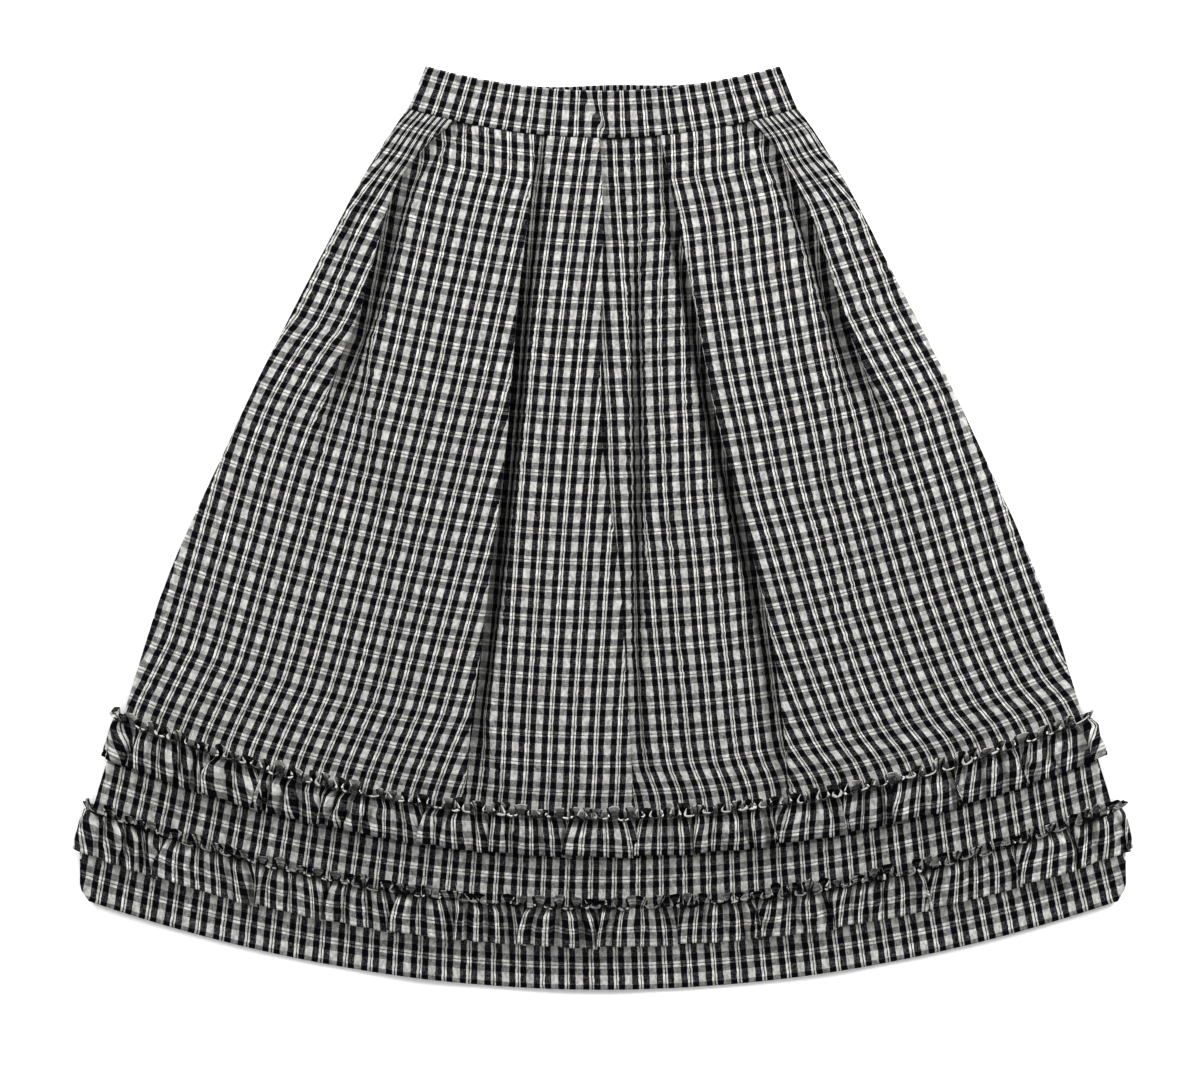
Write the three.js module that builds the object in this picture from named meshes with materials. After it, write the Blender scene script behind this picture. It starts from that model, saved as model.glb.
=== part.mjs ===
// A pleated midi skirt laid out flat: front and back waistband, front panel
// with five knife pleats, back panel, and two gathered ruffle rows on each.
// Millimetres. X to the right, Y from hem to waist, Z up from the surface
// that the skirt lies on. The origin is the middle of the underside.

import * as THREE from 'three';

// ---------------------------------------------------------------- sizes

const GAP = 0.3;             // between pieces that are sewn or lie together
const SEAM_Y = 351;          // waist seam at the centre front
const BACK_WALL = 2.0;       // cloth of the back panel
const LEVEL_STEP = 2.3;      // the pressed back ruffles lift what lies on them
const LIFT_RAMP = 8;         // way over which that lift comes and goes

// The skirt's rows, at distances v down the cloth from the waist seam: half of
// the width, how far the row's ends stand above its middle, the wall, and the
// level of the front where it starts to roll over to the side seam.
const ROWS = [
  { v: 0, half: 176, rise: 27, wall: 1.5, side: 6.4 },
  { v: 40, half: 199, rise: 33, wall: 2, side: 9.4 },
  { v: 90, half: 225, rise: 39, wall: 2, side: 10.5 },
  { v: 160, half: 258, rise: 45, wall: 2, side: 10.5 },
  { v: 275, half: 311, rise: 57, wall: 2, side: 9.5 },
  { v: 360, half: 346, rise: 67, wall: 2, side: 9.5 },
  { v: 480, half: 394, rise: 78, wall: 2, side: 8.5 },
  { v: 604, half: 431, rise: 88, wall: 2, side: 6.4 },
  { v: 680, half: 456, rise: 88, wall: 2, side: 6.4 },
  { v: 738, half: 471, rise: 85, wall: 2, side: 6.4 },
  { v: 755, half: 471, rise: 83, wall: 2, side: 6 },
  { v: 767, half: 463, rise: 80, wall: 2, side: 5.6 },
];

// The knife pleats. Of each, at v: the fold's edge x, the overlap (below zero
// it is the run of an open ramp), the height of the fold over its underlay,
// and how far the underlay stands off the panel below it. channel is the floor
// between the fold and the shoulder beside it.
const PLEATS = [
  { name: 'side left', faces: 1, channel: 9, rows: [
    { v: 0, x: -133, overlap: 33, height: 3.7, lift: 0 },
    { v: 22, x: -153, overlap: 26, height: 6, lift: 0 },
    { v: 70, x: -182, overlap: 16.5, height: 10.5, lift: 0 },
    { v: 130, x: -204, overlap: 8, height: 15, lift: 0 },
    { v: 190, x: -223, overlap: 0.5, height: 16.5, lift: 0 },
    { v: 250, x: -243, overlap: -7, height: 13, lift: 1.5 },
    { v: 300, x: -256, overlap: -16, height: 8.5, lift: 4 },
    { v: 380, x: -268, overlap: -34, height: 4, lift: 6 },
    { v: 500, x: -275, overlap: -45, height: 2.4, lift: 4.5 },
    { v: 600, x: -278, overlap: -50, height: 1.2, lift: 1.2 },
    { v: 767, x: -285, overlap: -60, height: 0.8, lift: 0.2 },
  ] },
  { name: 'left', faces: 1, channel: 9, rows: [
    { v: 0, x: -60, overlap: 58, height: 3.7, lift: 0 },
    { v: 60, x: -66, overlap: 49, height: 12, lift: 0 },
    { v: 150, x: -77, overlap: 36.5, height: 19, lift: 0 },
    { v: 260, x: -86, overlap: 24.5, height: 22.5, lift: 0 },
    { v: 370, x: -98, overlap: 14, height: 22.5, lift: 0 },
    { v: 465, x: -110, overlap: 5, height: 20, lift: 0 },
    { v: 530, x: -119, overlap: 0, height: 16, lift: 0.2 },
    { v: 590, x: -124, overlap: -9, height: 9.5, lift: 0.4 },
    { v: 640, x: -127, overlap: -22, height: 4.5, lift: 0.4 },
    { v: 690, x: -131, overlap: -38, height: 2.4, lift: 0.4 },
    { v: 767, x: -136, overlap: -55, height: 1.2, lift: 0.2 },
  ] },
  { name: 'centre', faces: 1, channel: 5, rows: [
    { v: 0, x: -4, overlap: 45, height: 3.7, lift: 0 },
    { v: 60, x: -1, overlap: 38.5, height: 5.4, lift: 3 },
    { v: 150, x: -2, overlap: 29.5, height: 6, lift: 10 },
    { v: 250, x: -3, overlap: 21, height: 6, lift: 13.5 },
    { v: 320, x: 4, overlap: 16, height: 6.5, lift: 13.5 },
    { v: 380, x: 13, overlap: 11, height: 7.5, lift: 12 },
    { v: 480, x: 20, overlap: 4.5, height: 10, lift: 7 },
    { v: 560, x: 25, overlap: 0.5, height: 10, lift: 2.4 },
    { v: 610, x: 27, overlap: -10, height: 6, lift: 0.6 },
    { v: 650, x: 28, overlap: -20, height: 3.6, lift: 0.4 },
    { v: 690, x: 28, overlap: -32, height: 2, lift: 0.3 },
    { v: 767, x: 28, overlap: -44, height: 1, lift: 0.2 },
  ] },
  { name: 'right', faces: -1, channel: 6, rows: [
    { v: 0, x: 52, overlap: 56, height: 3.7, lift: 0 },
    { v: 60, x: 64, overlap: 48, height: 12, lift: 0 },
    { v: 150, x: 82, overlap: 36.5, height: 19, lift: 0 },
    { v: 260, x: 103, overlap: 25, height: 22.5, lift: 0 },
    { v: 370, x: 131, overlap: 15.5, height: 22.5, lift: 0 },
    { v: 465, x: 152, overlap: 7, height: 20, lift: 0 },
    { v: 530, x: 161, overlap: 0.5, height: 16, lift: 0.2 },
    { v: 590, x: 167, overlap: -9, height: 9.5, lift: 0.4 },
    { v: 640, x: 170, overlap: -22, height: 4.5, lift: 0.4 },
    { v: 690, x: 173, overlap: -38, height: 2.4, lift: 0.4 },
    { v: 767, x: 176, overlap: -55, height: 1.2, lift: 0.2 },
  ] },
  { name: 'side right', faces: -1, channel: 6, rows: [
    { v: 0, x: 131, overlap: 33, height: 3.7, lift: 0 },
    { v: 22, x: 150, overlap: 27, height: 6, lift: 0 },
    { v: 70, x: 173, overlap: 17.5, height: 10.5, lift: 0 },
    { v: 130, x: 199, overlap: 9, height: 15, lift: 0 },
    { v: 190, x: 216, overlap: 0.5, height: 16.5, lift: 0 },
    { v: 250, x: 239, overlap: -7, height: 13, lift: 1.5 },
    { v: 300, x: 259, overlap: -16, height: 8.5, lift: 4 },
    { v: 380, x: 272, overlap: -34, height: 4, lift: 6 },
    { v: 500, x: 279, overlap: -45, height: 2.4, lift: 4.5 },
    { v: 600, x: 282, overlap: -50, height: 1.2, lift: 1.2 },
    { v: 767, x: 288, overlap: -60, height: 0.8, lift: 0.2 },
  ] },
];

// Soft creases along the panel's faces: place, depth (below zero it is a
// swell) and half of the width. places are where the mesh has points across
// it, in halves of that width.
const CREASES = [
  { name: 'trough', places: [-1.3, -0.7, 0, 0.7, 1.3], rows: [
    { v: 0, x: 24, depth: 0, half: 6 },
    { v: 60, x: 26, depth: 2.8, half: 6 },
    { v: 150, x: 30, depth: 9.6, half: 6 },
    { v: 250, x: 31, depth: 12.8, half: 6.2 },
    { v: 330, x: 31, depth: 12.8, half: 6.2 },
    { v: 380, x: 30.5, depth: 11.4, half: 6.2 },
    { v: 480, x: 29.5, depth: 6.8, half: 6.6 },
    { v: 560, x: 32, depth: 2.6, half: 7.5 },
    { v: 620, x: 38, depth: 0.4, half: 9 },
    { v: 767, x: 44, depth: 0, half: 10 },
  ] },
  { name: 'swell', places: [-0.7, 0, 0.8], rows: [
    { v: 0, x: 40, depth: 0, half: 9 },
    { v: 60, x: 46, depth: -1.5, half: 9 },
    { v: 150, x: 57, depth: -3.5, half: 12 },
    { v: 260, x: 68, depth: -5, half: 15 },
    { v: 380, x: 82, depth: -6.5, half: 22 },
    { v: 480, x: 92, depth: -8, half: 28 },
    { v: 600, x: 100, depth: -3, half: 34 },
    { v: 767, x: 100, depth: 0, half: 34 },
  ] },
];

// The panel's faces from left to right. shadow is the side where a face comes
// up out of a fold's shadow, over a short shoulder that takes its share of the
// climb. A face without one climbs evenly. One face carries the creases.
const FACES = [
  { name: 'side left', shadow: 'none', share: 0 },
  { name: 'left', shadow: 'left', share: 0.85 },
  { name: 'centre', shadow: 'left', share: 0.85 },
  { name: 'centre right', shadow: 'right', share: 0.9, creased: true },
  { name: 'right', shadow: 'right', share: 0.85 },
  { name: 'side right', shadow: 'none', share: 0 },
];

const SHOULDER = 11;           // width of a face's shoulder
const SHOULDER_SHARE = 0.8;    // and at most this share of a narrow face
const SHOULDER_SPREAD = 2.4;   // and it widens as much for each mm that the fold opens
const FOLD_RADIUS = 2.4;       // the most that a closed fold's crest is rounded
const SIDE_SEAM_HEIGHT = 3.9;  // the side seam
const SIDE_ROLL = 9;           // width of the rolled side
const SIDE_ROLL_WAIST = 4;     // and at the waist seam
const SEAM_UPRIGHT = 1.0;      // height of the upright edge at the side seam
const FACE_RUN = 90;           // way over which a face without shoulder climbs
const FOLD_MARGIN = 3;         // kept between a climb and the fold that hides it

const BAND_WALL = 3;           // doubled cloth with its interfacing
const BAND_HALF_TOP = 159.5;
const BAND_HALF_SEAM = 175;
const BAND_RISE_TOP = 22;
const BAND_FRONT_TOP_Y = 394;
const BAND_BACK_TOP_Y = 400.5;
const BAND_FRONT_Z = { top: 5.1, seam: 6.3 };
const BAND_ROLL = 3.4;         // width of its rolled sides
const BAND_GATHERS = 44;       // gathers that the back's elastic makes
const BAND_GATHER_DEPTH = 0.8;

const RUFFLE_WALL = 1.2;
const RUFFLE_CLEAR = 0.7;      // the least that it stands off the panel
const RUFFLE_WAVES = 44;
const RUFFLE_LEAN = 0.7;       // how far a wave's crest leans, for its height
const RUFFLE_UNEVEN = 2.6;     // how far a wave strays along the row
const RUFFLE_PAST_SIDE = 5;    // its ends stand out past the skirt's sides

// Across a ruffle, from its frilled heading to its free edge: the distance
// down the skirt, the waves' height, and how far it stands off the panel.
const RUFFLE_SECTION = [
  { down: 0, wave: 3.2, off: 1.2 },
  { down: 12, wave: 0.9, off: 0 },
  { down: 25, wave: 3.4, off: 0.5 },
  { down: 41, wave: 4.8, off: 0.8 },
];

const RUFFLE_ROWS = [
  { name: 'upper', v: 609 },
  { name: 'lower', v: 690 },
];

const BACK_RUFFLE_WALL = 2.0;  // the back's gathers, pressed flat below it
const BACK_RUFFLE_LENGTH = 36;
const BACK_RUFFLE_IN = 14;     // its ends stop short of the rolled sides

// ------------------------------------------------------- steps of the mesh

const CLIMB_STEPS = 3;
const FACE_STEPS = 2;
const LEVEL_STEPS = 2;
const ARC_STEPS = 3;
const ROLL_STEPS = 3;
const BACK_STEPS = 14;
const BAND_STEPS = 28;
const PANEL_ROWS = [0, 22, 50, 90, 140, 200, 270, 345, 425, 505, 560,
  603, 611, 649, 657, 684, 692, 730, 738, 755, 767];

const CLOTH = new THREE.MeshStandardMaterial({
  color: 0x55555a, roughness: 0.92, metalness: 0, side: THREE.DoubleSide,
});

// ------------------------------------------------------------- small tools

// Value of one column of a table at v: a cubic through its rows that never
// overshoots them.
function column(rows, key, v) {
  const last = rows.length - 1;
  let k = 0;
  while (k < last - 1 && v > rows[k + 1].v) k += 1;
  const slope = (i) => (rows[i + 1][key] - rows[i][key]) / (rows[i + 1].v - rows[i].v);
  const tangent = (i) => {
    if (i === 0) return slope(0);
    if (i === last) return slope(last - 1);
    const a = slope(i - 1);
    const b = slope(i);
    return a * b <= 0 ? 0 : (2 * a * b) / (a + b);
  };
  const span = rows[k + 1].v - rows[k].v;
  const t = THREE.MathUtils.clamp((v - rows[k].v) / span, 0, 1);
  const t2 = t * t;
  const t3 = t2 * t;
  return (2 * t3 - 3 * t2 + 1) * rows[k][key] + (t3 - 2 * t2 + t) * span * tangent(k)
    + (3 * t2 - 2 * t3) * rows[k + 1][key] + (t3 - t2) * span * tangent(k + 1);
}

const smooth = (t) => THREE.MathUtils.smoothstep(t, 0, 1);

const steps = (from, to, count) => (
  Array.from({ length: count + 1 }, (_, i) => from + ((to - from) * i) / count)
);

// A closed wall around a sheet. sections[i][j] are the places x and levels z
// of the wall's middle, j to the right and i down the cloth; yAt(i, x) is the
// way in plan of row i, and wall(i) its thickness. Points on the sheet's first
// and last row stay on that way, so what is sewn on there keeps its gap.
function wallGeometry(sections, yAt, wall) {
  const rows = sections.map((section, i) => (
    section.map(([x, z]) => new THREE.Vector3(x, yAt(i, x), z))
  ));
  const last = rows.length - 1;
  const end = rows[0].length - 1;
  const place = [];
  for (const side of [0.5, -0.5]) {
    rows.forEach((row, i) => row.forEach((point, j) => {
      const along = row[Math.min(j + 1, end)].clone().sub(row[Math.max(j - 1, 0)]);
      const down = rows[Math.min(i + 1, last)][j].clone().sub(rows[Math.max(i - 1, 0)][j]);
      const out = down.cross(along).normalize();
      const moved = point.clone().addScaledVector(out, side * wall(i));
      if (i === 0 || i === last) moved.setY(yAt(i, moved.x));
      place.push(...moved.toArray());
    }));
  }
  const top = (i, j) => i * (end + 1) + j;
  const under = (i, j) => top(i, j) + (last + 1) * (end + 1);
  const faces = [];
  const quad = (a, b, c, d) => faces.push(a, b, c, a, c, d);
  for (let i = 0; i < last; i += 1) {
    for (let j = 0; j < end; j += 1) {
      quad(top(i, j), top(i + 1, j), top(i + 1, j + 1), top(i, j + 1));
      quad(under(i, j), under(i, j + 1), under(i + 1, j + 1), under(i + 1, j));
    }
    quad(top(i, 0), under(i, 0), under(i + 1, 0), top(i + 1, 0));
    quad(top(i, end), top(i + 1, end), under(i + 1, end), under(i, end));
  }
  for (let j = 0; j < end; j += 1) {
    quad(top(0, j), top(0, j + 1), under(0, j + 1), under(0, j));
    quad(top(last, j), under(last, j), under(last, j + 1), top(last, j + 1));
  }
  const geometry = new THREE.BufferGeometry();
  geometry.setAttribute('position', new THREE.Float32BufferAttribute(place, 3));
  geometry.setIndex(faces);
  geometry.computeVertexNormals();
  return geometry;
}

// ------------------------------------------------------------ skirt's rows

const halfWidth = (v) => column(ROWS, 'half', v);

const wallAt = (v) => column(ROWS, 'wall', v);

// Y of a row's point: the row is a shallow bowl, its ends above its middle.
const rowY = (x, v) => SEAM_Y - v + column(ROWS, 'rise', v) * (x / halfWidth(v)) ** 2;

// Lift that the pressed back ruffles give to all that lies on them at v.
function backLift(v) {
  const over = RUFFLE_ROWS.map((row) => Math.min(
    (v - (row.v - 6)) / LIFT_RAMP,
    (row.v + 48 - v) / LIFT_RAMP,
  ));
  return LEVEL_STEP * THREE.MathUtils.clamp(Math.max(...over), 0, 1);
}

const rollWidth = (v) => THREE.MathUtils.lerp(SIDE_ROLL_WAIST, SIDE_ROLL, smooth(v / 90));

// One pleat's fold at v, as plan places and levels: an arc over the crest, a
// straight return and an arc onto the underlay. With an overlap the return
// runs back below the crest; with none the fold opens to an S-shaped ramp.
function foldAt(pleat, v, base) {
  const edge = column(pleat.rows, 'x', v);
  const overlap = column(pleat.rows, 'overlap', v);
  const height = column(pleat.rows, 'height', v);
  const low = base + column(pleat.rows, 'lift', v);
  const open = Math.max(-overlap, 0);
  const radius = Math.min(height / 4, FOLD_RADIUS) + (0.9 * open * open) / (4 * height);
  const span = Math.hypot(overlap, height - 2 * radius);
  const turn = Math.atan2(height - 2 * radius, -overlap)
    + Math.asin(Math.min((2 * radius) / span, 1));
  const straight = Math.sqrt(Math.max(overlap ** 2 + height ** 2 - 4 * radius * height, 0));
  const crest = -radius * Math.sin(Math.min(turn, Math.PI / 2));
  const turns = steps(0, turn, ARC_STEPS);
  const points = turns.map((a) => [radius * Math.sin(a), -radius * (1 - Math.cos(a))]);
  const [x1, z1] = points[ARC_STEPS];
  steps(0, straight, LEVEL_STEPS).slice(1).forEach((way) => {
    points.push([x1 + way * Math.cos(turn), z1 - way * Math.sin(turn)]);
  });
  const [x2, z2] = points.at(-1);
  turns.reverse().slice(1).forEach((a) => {
    const x = x2 + radius * (Math.sin(turn) - Math.sin(a));
    const z = z2 - radius * (Math.cos(a) - Math.cos(turn));
    points.push([x, z]);
  });
  const placed = points.map(([x, z]) => [edge + pleat.faces * (crest + x), low + height + z]);
  if (pleat.faces < 0) placed.reverse();
  const inner = pleat.faces * (crest - Math.max(overlap, 0) - radius);
  return {
    points: placed,
    open,
    outer: edge + pleat.faces * open * 0.5,
    inner: edge + (overlap > 0 ? inner : pleat.faces * crest),
  };
}

function creaseDepth(x, v) {
  return CREASES.reduce((sum, crease) => {
    const reach = (x - column(crease.rows, 'x', v)) / column(crease.rows, 'half', v);
    return sum + column(crease.rows, 'depth', v) * Math.exp(-(Math.abs(reach) ** 3));
  }, 0);
}

// Places across all creases at v, kept in order between the places a and b.
function creasePlaces(a, b, v) {
  const all = CREASES.flatMap(({ rows, places }) => (
    places.map((place) => column(rows, 'x', v) + place * column(rows, 'half', v))
  ));
  return all.map((x, j) => (
    THREE.MathUtils.clamp(x, a + 1.5 * (j + 1), b - 1.5 * (all.length - j))
  ));
}

// One face between two folds: level where a fold hides it, with a climb from
// the place a to the place b, most of it on the shoulder beside the deeper
// fold, which spreads as that fold opens.
function faceAt({ shadow, share, creased }, open, start, end, a, b, v) {
  const room = Math.max(b - a, 4);
  const shoulder = Math.min(SHOULDER_SHARE * room, SHOULDER + SHOULDER_SPREAD * open);
  const run = Math.min(room, FACE_RUN);
  const first = end[1] > start[1] ? a + room - run : a;
  const last = a + room;
  const rise = {
    left: (x) => share * smooth((x - a) / shoulder) + (1 - share) * smooth((x - a) / room),
    right: (x) => (
      1 - share * smooth((last - x) / shoulder) - (1 - share) * smooth((last - x) / room)
    ),
    none: (x) => smooth((x - first) / run),
  }[shadow];
  const seen = (x) => smooth((x - a) / 8 + 0.5) * smooth((last - x) / 8 + 0.5);
  const height = (x) => (
    THREE.MathUtils.lerp(start[1], end[1], rise(x)) - seen(x) * creaseDepth(x, v)
  );
  const climb = {
    left: () => [
      ...steps(a, a + shoulder, CLIMB_STEPS),
      ...steps(a + shoulder, last, FACE_STEPS).slice(1),
    ],
    right: () => [
      ...(creased
        ? [a, ...creasePlaces(a, last - shoulder, v)]
        : steps(a, last - shoulder, FACE_STEPS).slice(0, -1)),
      ...steps(last - shoulder, last, CLIMB_STEPS),
    ],
    none: () => steps(first, first + run, CLIMB_STEPS),
  }[shadow];
  const places = [
    ...steps(start[0], Math.min(a, first), LEVEL_STEPS).slice(1, -1),
    ...climb(),
    ...steps(last, end[0], LEVEL_STEPS).slice(1, -1),
  ];
  return places.map((x) => [x, height(x)]);
}

// Half of a side's roll: out and down or up to the side seam's height, where
// it ends upright.
function rollPoints(side, half, width, level, seamLevel) {
  const upright = level > seamLevel ? SEAM_UPRIGHT : -SEAM_UPRIGHT;
  const arc = steps(0, Math.PI / 2, ROLL_STEPS).map((a) => [
    side * (half - width + width * Math.sin(a)),
    seamLevel + upright + (level - seamLevel - upright) * Math.cos(a),
  ]);
  return [...arc, [side * half, seamLevel]];
}

// Section of the front panel at v, from its left side seam to its right one.
function frontSection(v) {
  const wall = wallAt(v);
  const base = BACK_WALL + GAP + wall / 2 + backLift(v);
  const folds = PLEATS.map((pleat) => foldAt(pleat, v, base));
  const half = halfWidth(v) - wall / 2;
  const width = rollWidth(v);
  const seamLevel = SIDE_SEAM_HEIGHT + GAP / 2 + backLift(v);
  const sideLevel = column(ROWS, 'side', v) + backLift(v);
  const left = rollPoints(-1, half, width, sideLevel, seamLevel).reverse();
  const right = rollPoints(1, half, width, sideLevel, seamLevel);
  const section = [...left];
  let start = left.at(-1);
  let a = start[0] + FOLD_MARGIN;
  FACES.forEach((face, k) => {
    const fold = folds[k];
    const facesRight = fold && PLEATS[k].faces > 0;
    const end = fold ? fold.points[0] : right[0];
    let b = end[0] - FOLD_MARGIN;
    if (fold) b = facesRight ? fold.inner - FOLD_MARGIN : fold.outer - PLEATS[k].channel;
    const beside = face.shadow === 'left' ? folds[k - 1] : fold;
    section.push(...faceAt(face, beside?.open ?? 0, start, end, a, b, v));
    if (!fold) return;
    section.push(...fold.points);
    start = fold.points.at(-1);
    a = facesRight ? fold.outer + PLEATS[k].channel : fold.inner + FOLD_MARGIN;
  });
  return [...section, ...right];
}

// Section of the back panel: flat on the surface, its sides rolled up.
function backSection(v) {
  const lift = backLift(v);
  const half = halfWidth(v) - BACK_WALL / 2;
  const width = rollWidth(v);
  const level = BACK_WALL / 2 + lift;
  const seamLevel = SIDE_SEAM_HEIGHT - GAP / 2 + lift;
  const left = rollPoints(-1, half, width, level, seamLevel).reverse();
  const right = rollPoints(1, half, width, level, seamLevel);
  const middle = steps(left.at(-1)[0], right[0][0], BACK_STEPS).slice(1, -1);
  return [...left, ...middle.map((x) => [x, level]), ...right];
}

// ------------------------------------------------------------------ pieces

const panelY = (i, x) => rowY(x, PANEL_ROWS[i]);

function skirtFront() {
  return wallGeometry(PANEL_ROWS.map(frontSection), panelY, (i) => wallAt(PANEL_ROWS[i]));
}

function skirtBack() {
  return wallGeometry(PANEL_ROWS.map(backSection), panelY, () => BACK_WALL);
}

// Level of the front panel's outside at a place on it. Past the start of the
// rolled side it stays level, as the ruffle does that stands out there.
function frontTop(x, v) {
  const reach = halfWidth(v) - rollWidth(v) - wallAt(v);
  const at = THREE.MathUtils.clamp(x, -reach, reach);
  const next = Math.max(PANEL_ROWS.findIndex((row) => row >= v), 1);
  const levels = [next - 1, next].map((i) => {
    const section = frontSection(PANEL_ROWS[i]);
    const j = Math.max(section.findIndex((point) => point[0] > at), 1);
    const [a, b] = [section[j - 1], section[j]];
    return THREE.MathUtils.mapLinear(at, a[0], b[0], a[1], b[1]);
  });
  const [v0, v1] = [PANEL_ROWS[next - 1], PANEL_ROWS[next]];
  return THREE.MathUtils.mapLinear(v, v0, v1, levels[0], levels[1]) + wallAt(v) / 2;
}

// A gathered strip sewn on along its heading. Each wave rises and leans over;
// no two are quite alike in width and height.
function ruffleFront(row) {
  const columns = steps(0, RUFFLE_WAVES, RUFFLE_WAVES * 4);
  const sheet = RUFFLE_SECTION.map(({ down, wave, off }) => columns.map((turn) => {
    const v = row.v + down;
    const half = halfWidth(v) + RUFFLE_PAST_SIDE - RUFFLE_WALL;
    const stray = RUFFLE_UNEVEN * Math.sin(turn * 1.9 + row.v);
    const rise = 0.5 - 0.5 * Math.cos(turn * 2 * Math.PI);
    const tall = wave * rise * (0.8 + 0.2 * Math.sin(turn * 2.3 + row.v));
    const inside = Math.min(turn, RUFFLE_WAVES - turn, 1);
    const x = half * ((2 * turn) / RUFFLE_WAVES - 1) + inside * (stray + RUFFLE_LEAN * tall);
    return [x, frontTop(x, v) + RUFFLE_CLEAR + RUFFLE_WALL / 2 + off + tall];
  }));
  const yAt = (i, x) => rowY(x, row.v + RUFFLE_SECTION[i].down);
  return wallGeometry(sheet, yAt, () => RUFFLE_WALL);
}

// The back's ruffle, pressed flat between the back panel and the surface.
function ruffleBack(row) {
  const edges = [row.v + 2, row.v + 2 + BACK_RUFFLE_LENGTH];
  const sheet = edges.map((v) => {
    const half = halfWidth(v) - BACK_RUFFLE_IN;
    return steps(-half, half, BACK_STEPS).map((x) => [x, BACK_RUFFLE_WALL / 2]);
  });
  return wallGeometry(sheet, (i, x) => rowY(x, edges[i]), () => BACK_RUFFLE_WALL);
}

// A waistband between the seam and its top edge. acrossTo(t, half) gives the
// places and levels of a row, t from 0 at the top edge to 1 at the seam.
function waistband(topY, acrossTo) {
  const endY = BAND_FRONT_TOP_Y + BAND_RISE_TOP;
  const rows = [0, 1];
  const sheet = rows.map((t) => (
    acrossTo(t, THREE.MathUtils.lerp(BAND_HALF_TOP, BAND_HALF_SEAM, t) - BAND_WALL / 2)
  ));
  const yAt = (i, x) => {
    const top = topY + (endY - topY) * (x / BAND_HALF_TOP) ** 2;
    return THREE.MathUtils.lerp(top, rowY(x, 0) + GAP, rows[i]);
  };
  return wallGeometry(sheet, yAt, () => BAND_WALL);
}

function waistbandFront() {
  return waistband(BAND_FRONT_TOP_Y, (t, half) => {
    const level = THREE.MathUtils.lerp(BAND_FRONT_Z.top, BAND_FRONT_Z.seam, t);
    const seamLevel = BAND_WALL + GAP + 0.3;
    const left = rollPoints(-1, half, BAND_ROLL, level, seamLevel).reverse();
    const right = rollPoints(1, half, BAND_ROLL, level, seamLevel);
    const middle = steps(left.at(-1)[0], right[0][0], BAND_STEPS).slice(1, -1);
    return [...left, ...middle.map((x) => [x, level]), ...right];
  });
}

// The back's waistband is drawn in by elastic: its cloth stands in small
// gathers on the side that faces the front, and is pressed flat below.
function waistbandBack() {
  const geometry = waistband(BAND_BACK_TOP_Y, (t, half) => (
    steps(-half, half, BAND_GATHERS * 2).map((x) => [x, BAND_WALL / 2])
  ));
  const place = geometry.attributes.position;
  const across = BAND_GATHERS * 2 + 1;
  for (let i = 0; i < place.count / 2; i += 1) {
    if ((i % across) % 2 === 0) place.setZ(i, BAND_WALL - BAND_GATHER_DEPTH);
  }
  geometry.computeVertexNormals();
  return geometry;
}

// ------------------------------------------------------------- the garment

function piece(name, geometry) {
  const mesh = new THREE.Mesh(geometry, CLOTH.clone());
  mesh.name = name;
  return mesh;
}

const skirt = new THREE.Group();
skirt.name = 'padded_skirt';
skirt.add(piece('waistband_front', waistbandFront()));
skirt.add(piece('waistband_back', waistbandBack()));
skirt.add(piece('skirt_front', skirtFront()));
skirt.add(piece('skirt_back', skirtBack()));
for (const row of RUFFLE_ROWS) {
  skirt.add(piece(`ruffle_${row.name}_front`, ruffleFront(row)));
  skirt.add(piece(`ruffle_${row.name}_back`, ruffleBack(row)));
}

export default skirt;
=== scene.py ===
"""A pleated midi skirt in checked crinkle cloth, laid out flat.

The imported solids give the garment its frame. Each piece of cloth is made again
here as a finer wall on the same form: rows across the skirt, each a section
worked out from the tables below, with the crinkle, the gathers and the sewing.
Lengths in the tables are millimetres, places are the frame's own.
"""

import math

import bpy
import numpy as np
from bpy.props import FloatProperty, FloatVectorProperty, IntProperty, PointerProperty
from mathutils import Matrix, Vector


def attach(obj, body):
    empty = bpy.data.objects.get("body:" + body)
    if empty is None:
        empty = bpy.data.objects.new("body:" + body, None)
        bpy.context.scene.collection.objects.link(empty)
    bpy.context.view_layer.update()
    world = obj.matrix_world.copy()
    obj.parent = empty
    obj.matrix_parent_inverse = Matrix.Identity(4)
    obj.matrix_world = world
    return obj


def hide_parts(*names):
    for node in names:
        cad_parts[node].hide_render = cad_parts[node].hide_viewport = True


bl_info = {
    "name": "Pleated Skirt",
    "version": (1, 0, 0),
    "blender": (4, 5, 0),
    "location": "3D View > Sidebar > Skirt",
    "description": "Makes a checked pleated skirt, laid out flat, around its packed solids",
    "category": "Add Mesh",
}

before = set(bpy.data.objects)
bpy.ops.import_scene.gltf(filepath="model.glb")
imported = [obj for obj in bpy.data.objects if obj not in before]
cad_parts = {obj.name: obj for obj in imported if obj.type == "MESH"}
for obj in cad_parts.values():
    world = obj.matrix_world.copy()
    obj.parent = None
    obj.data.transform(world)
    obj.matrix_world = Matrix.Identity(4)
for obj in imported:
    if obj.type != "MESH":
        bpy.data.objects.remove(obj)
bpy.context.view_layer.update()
MM = 0.001

# ------------------------------------------------------------------- sizes


def table(names, *rows):
    """A table with named columns: one array for each name."""
    return dict(zip(names.split(), np.array(rows, float).T))


GAP = 0.3  # between pieces at a seam
SEAM_Y = 351  # the waist seam's middle, in the frame
LENGTH = 767  # from the waist seam to the hem
BACK_WALL = 2.0

# The pressed back ruffles lift all that lies on them, by a step with a ramp at
# either side: where the ramps start, above and below a ruffle's own row.
LEVEL_STEP = 2.3
LIFT_RAMP = 8
LIFT_ABOVE = 6
LIFT_BELOW = 48

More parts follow.
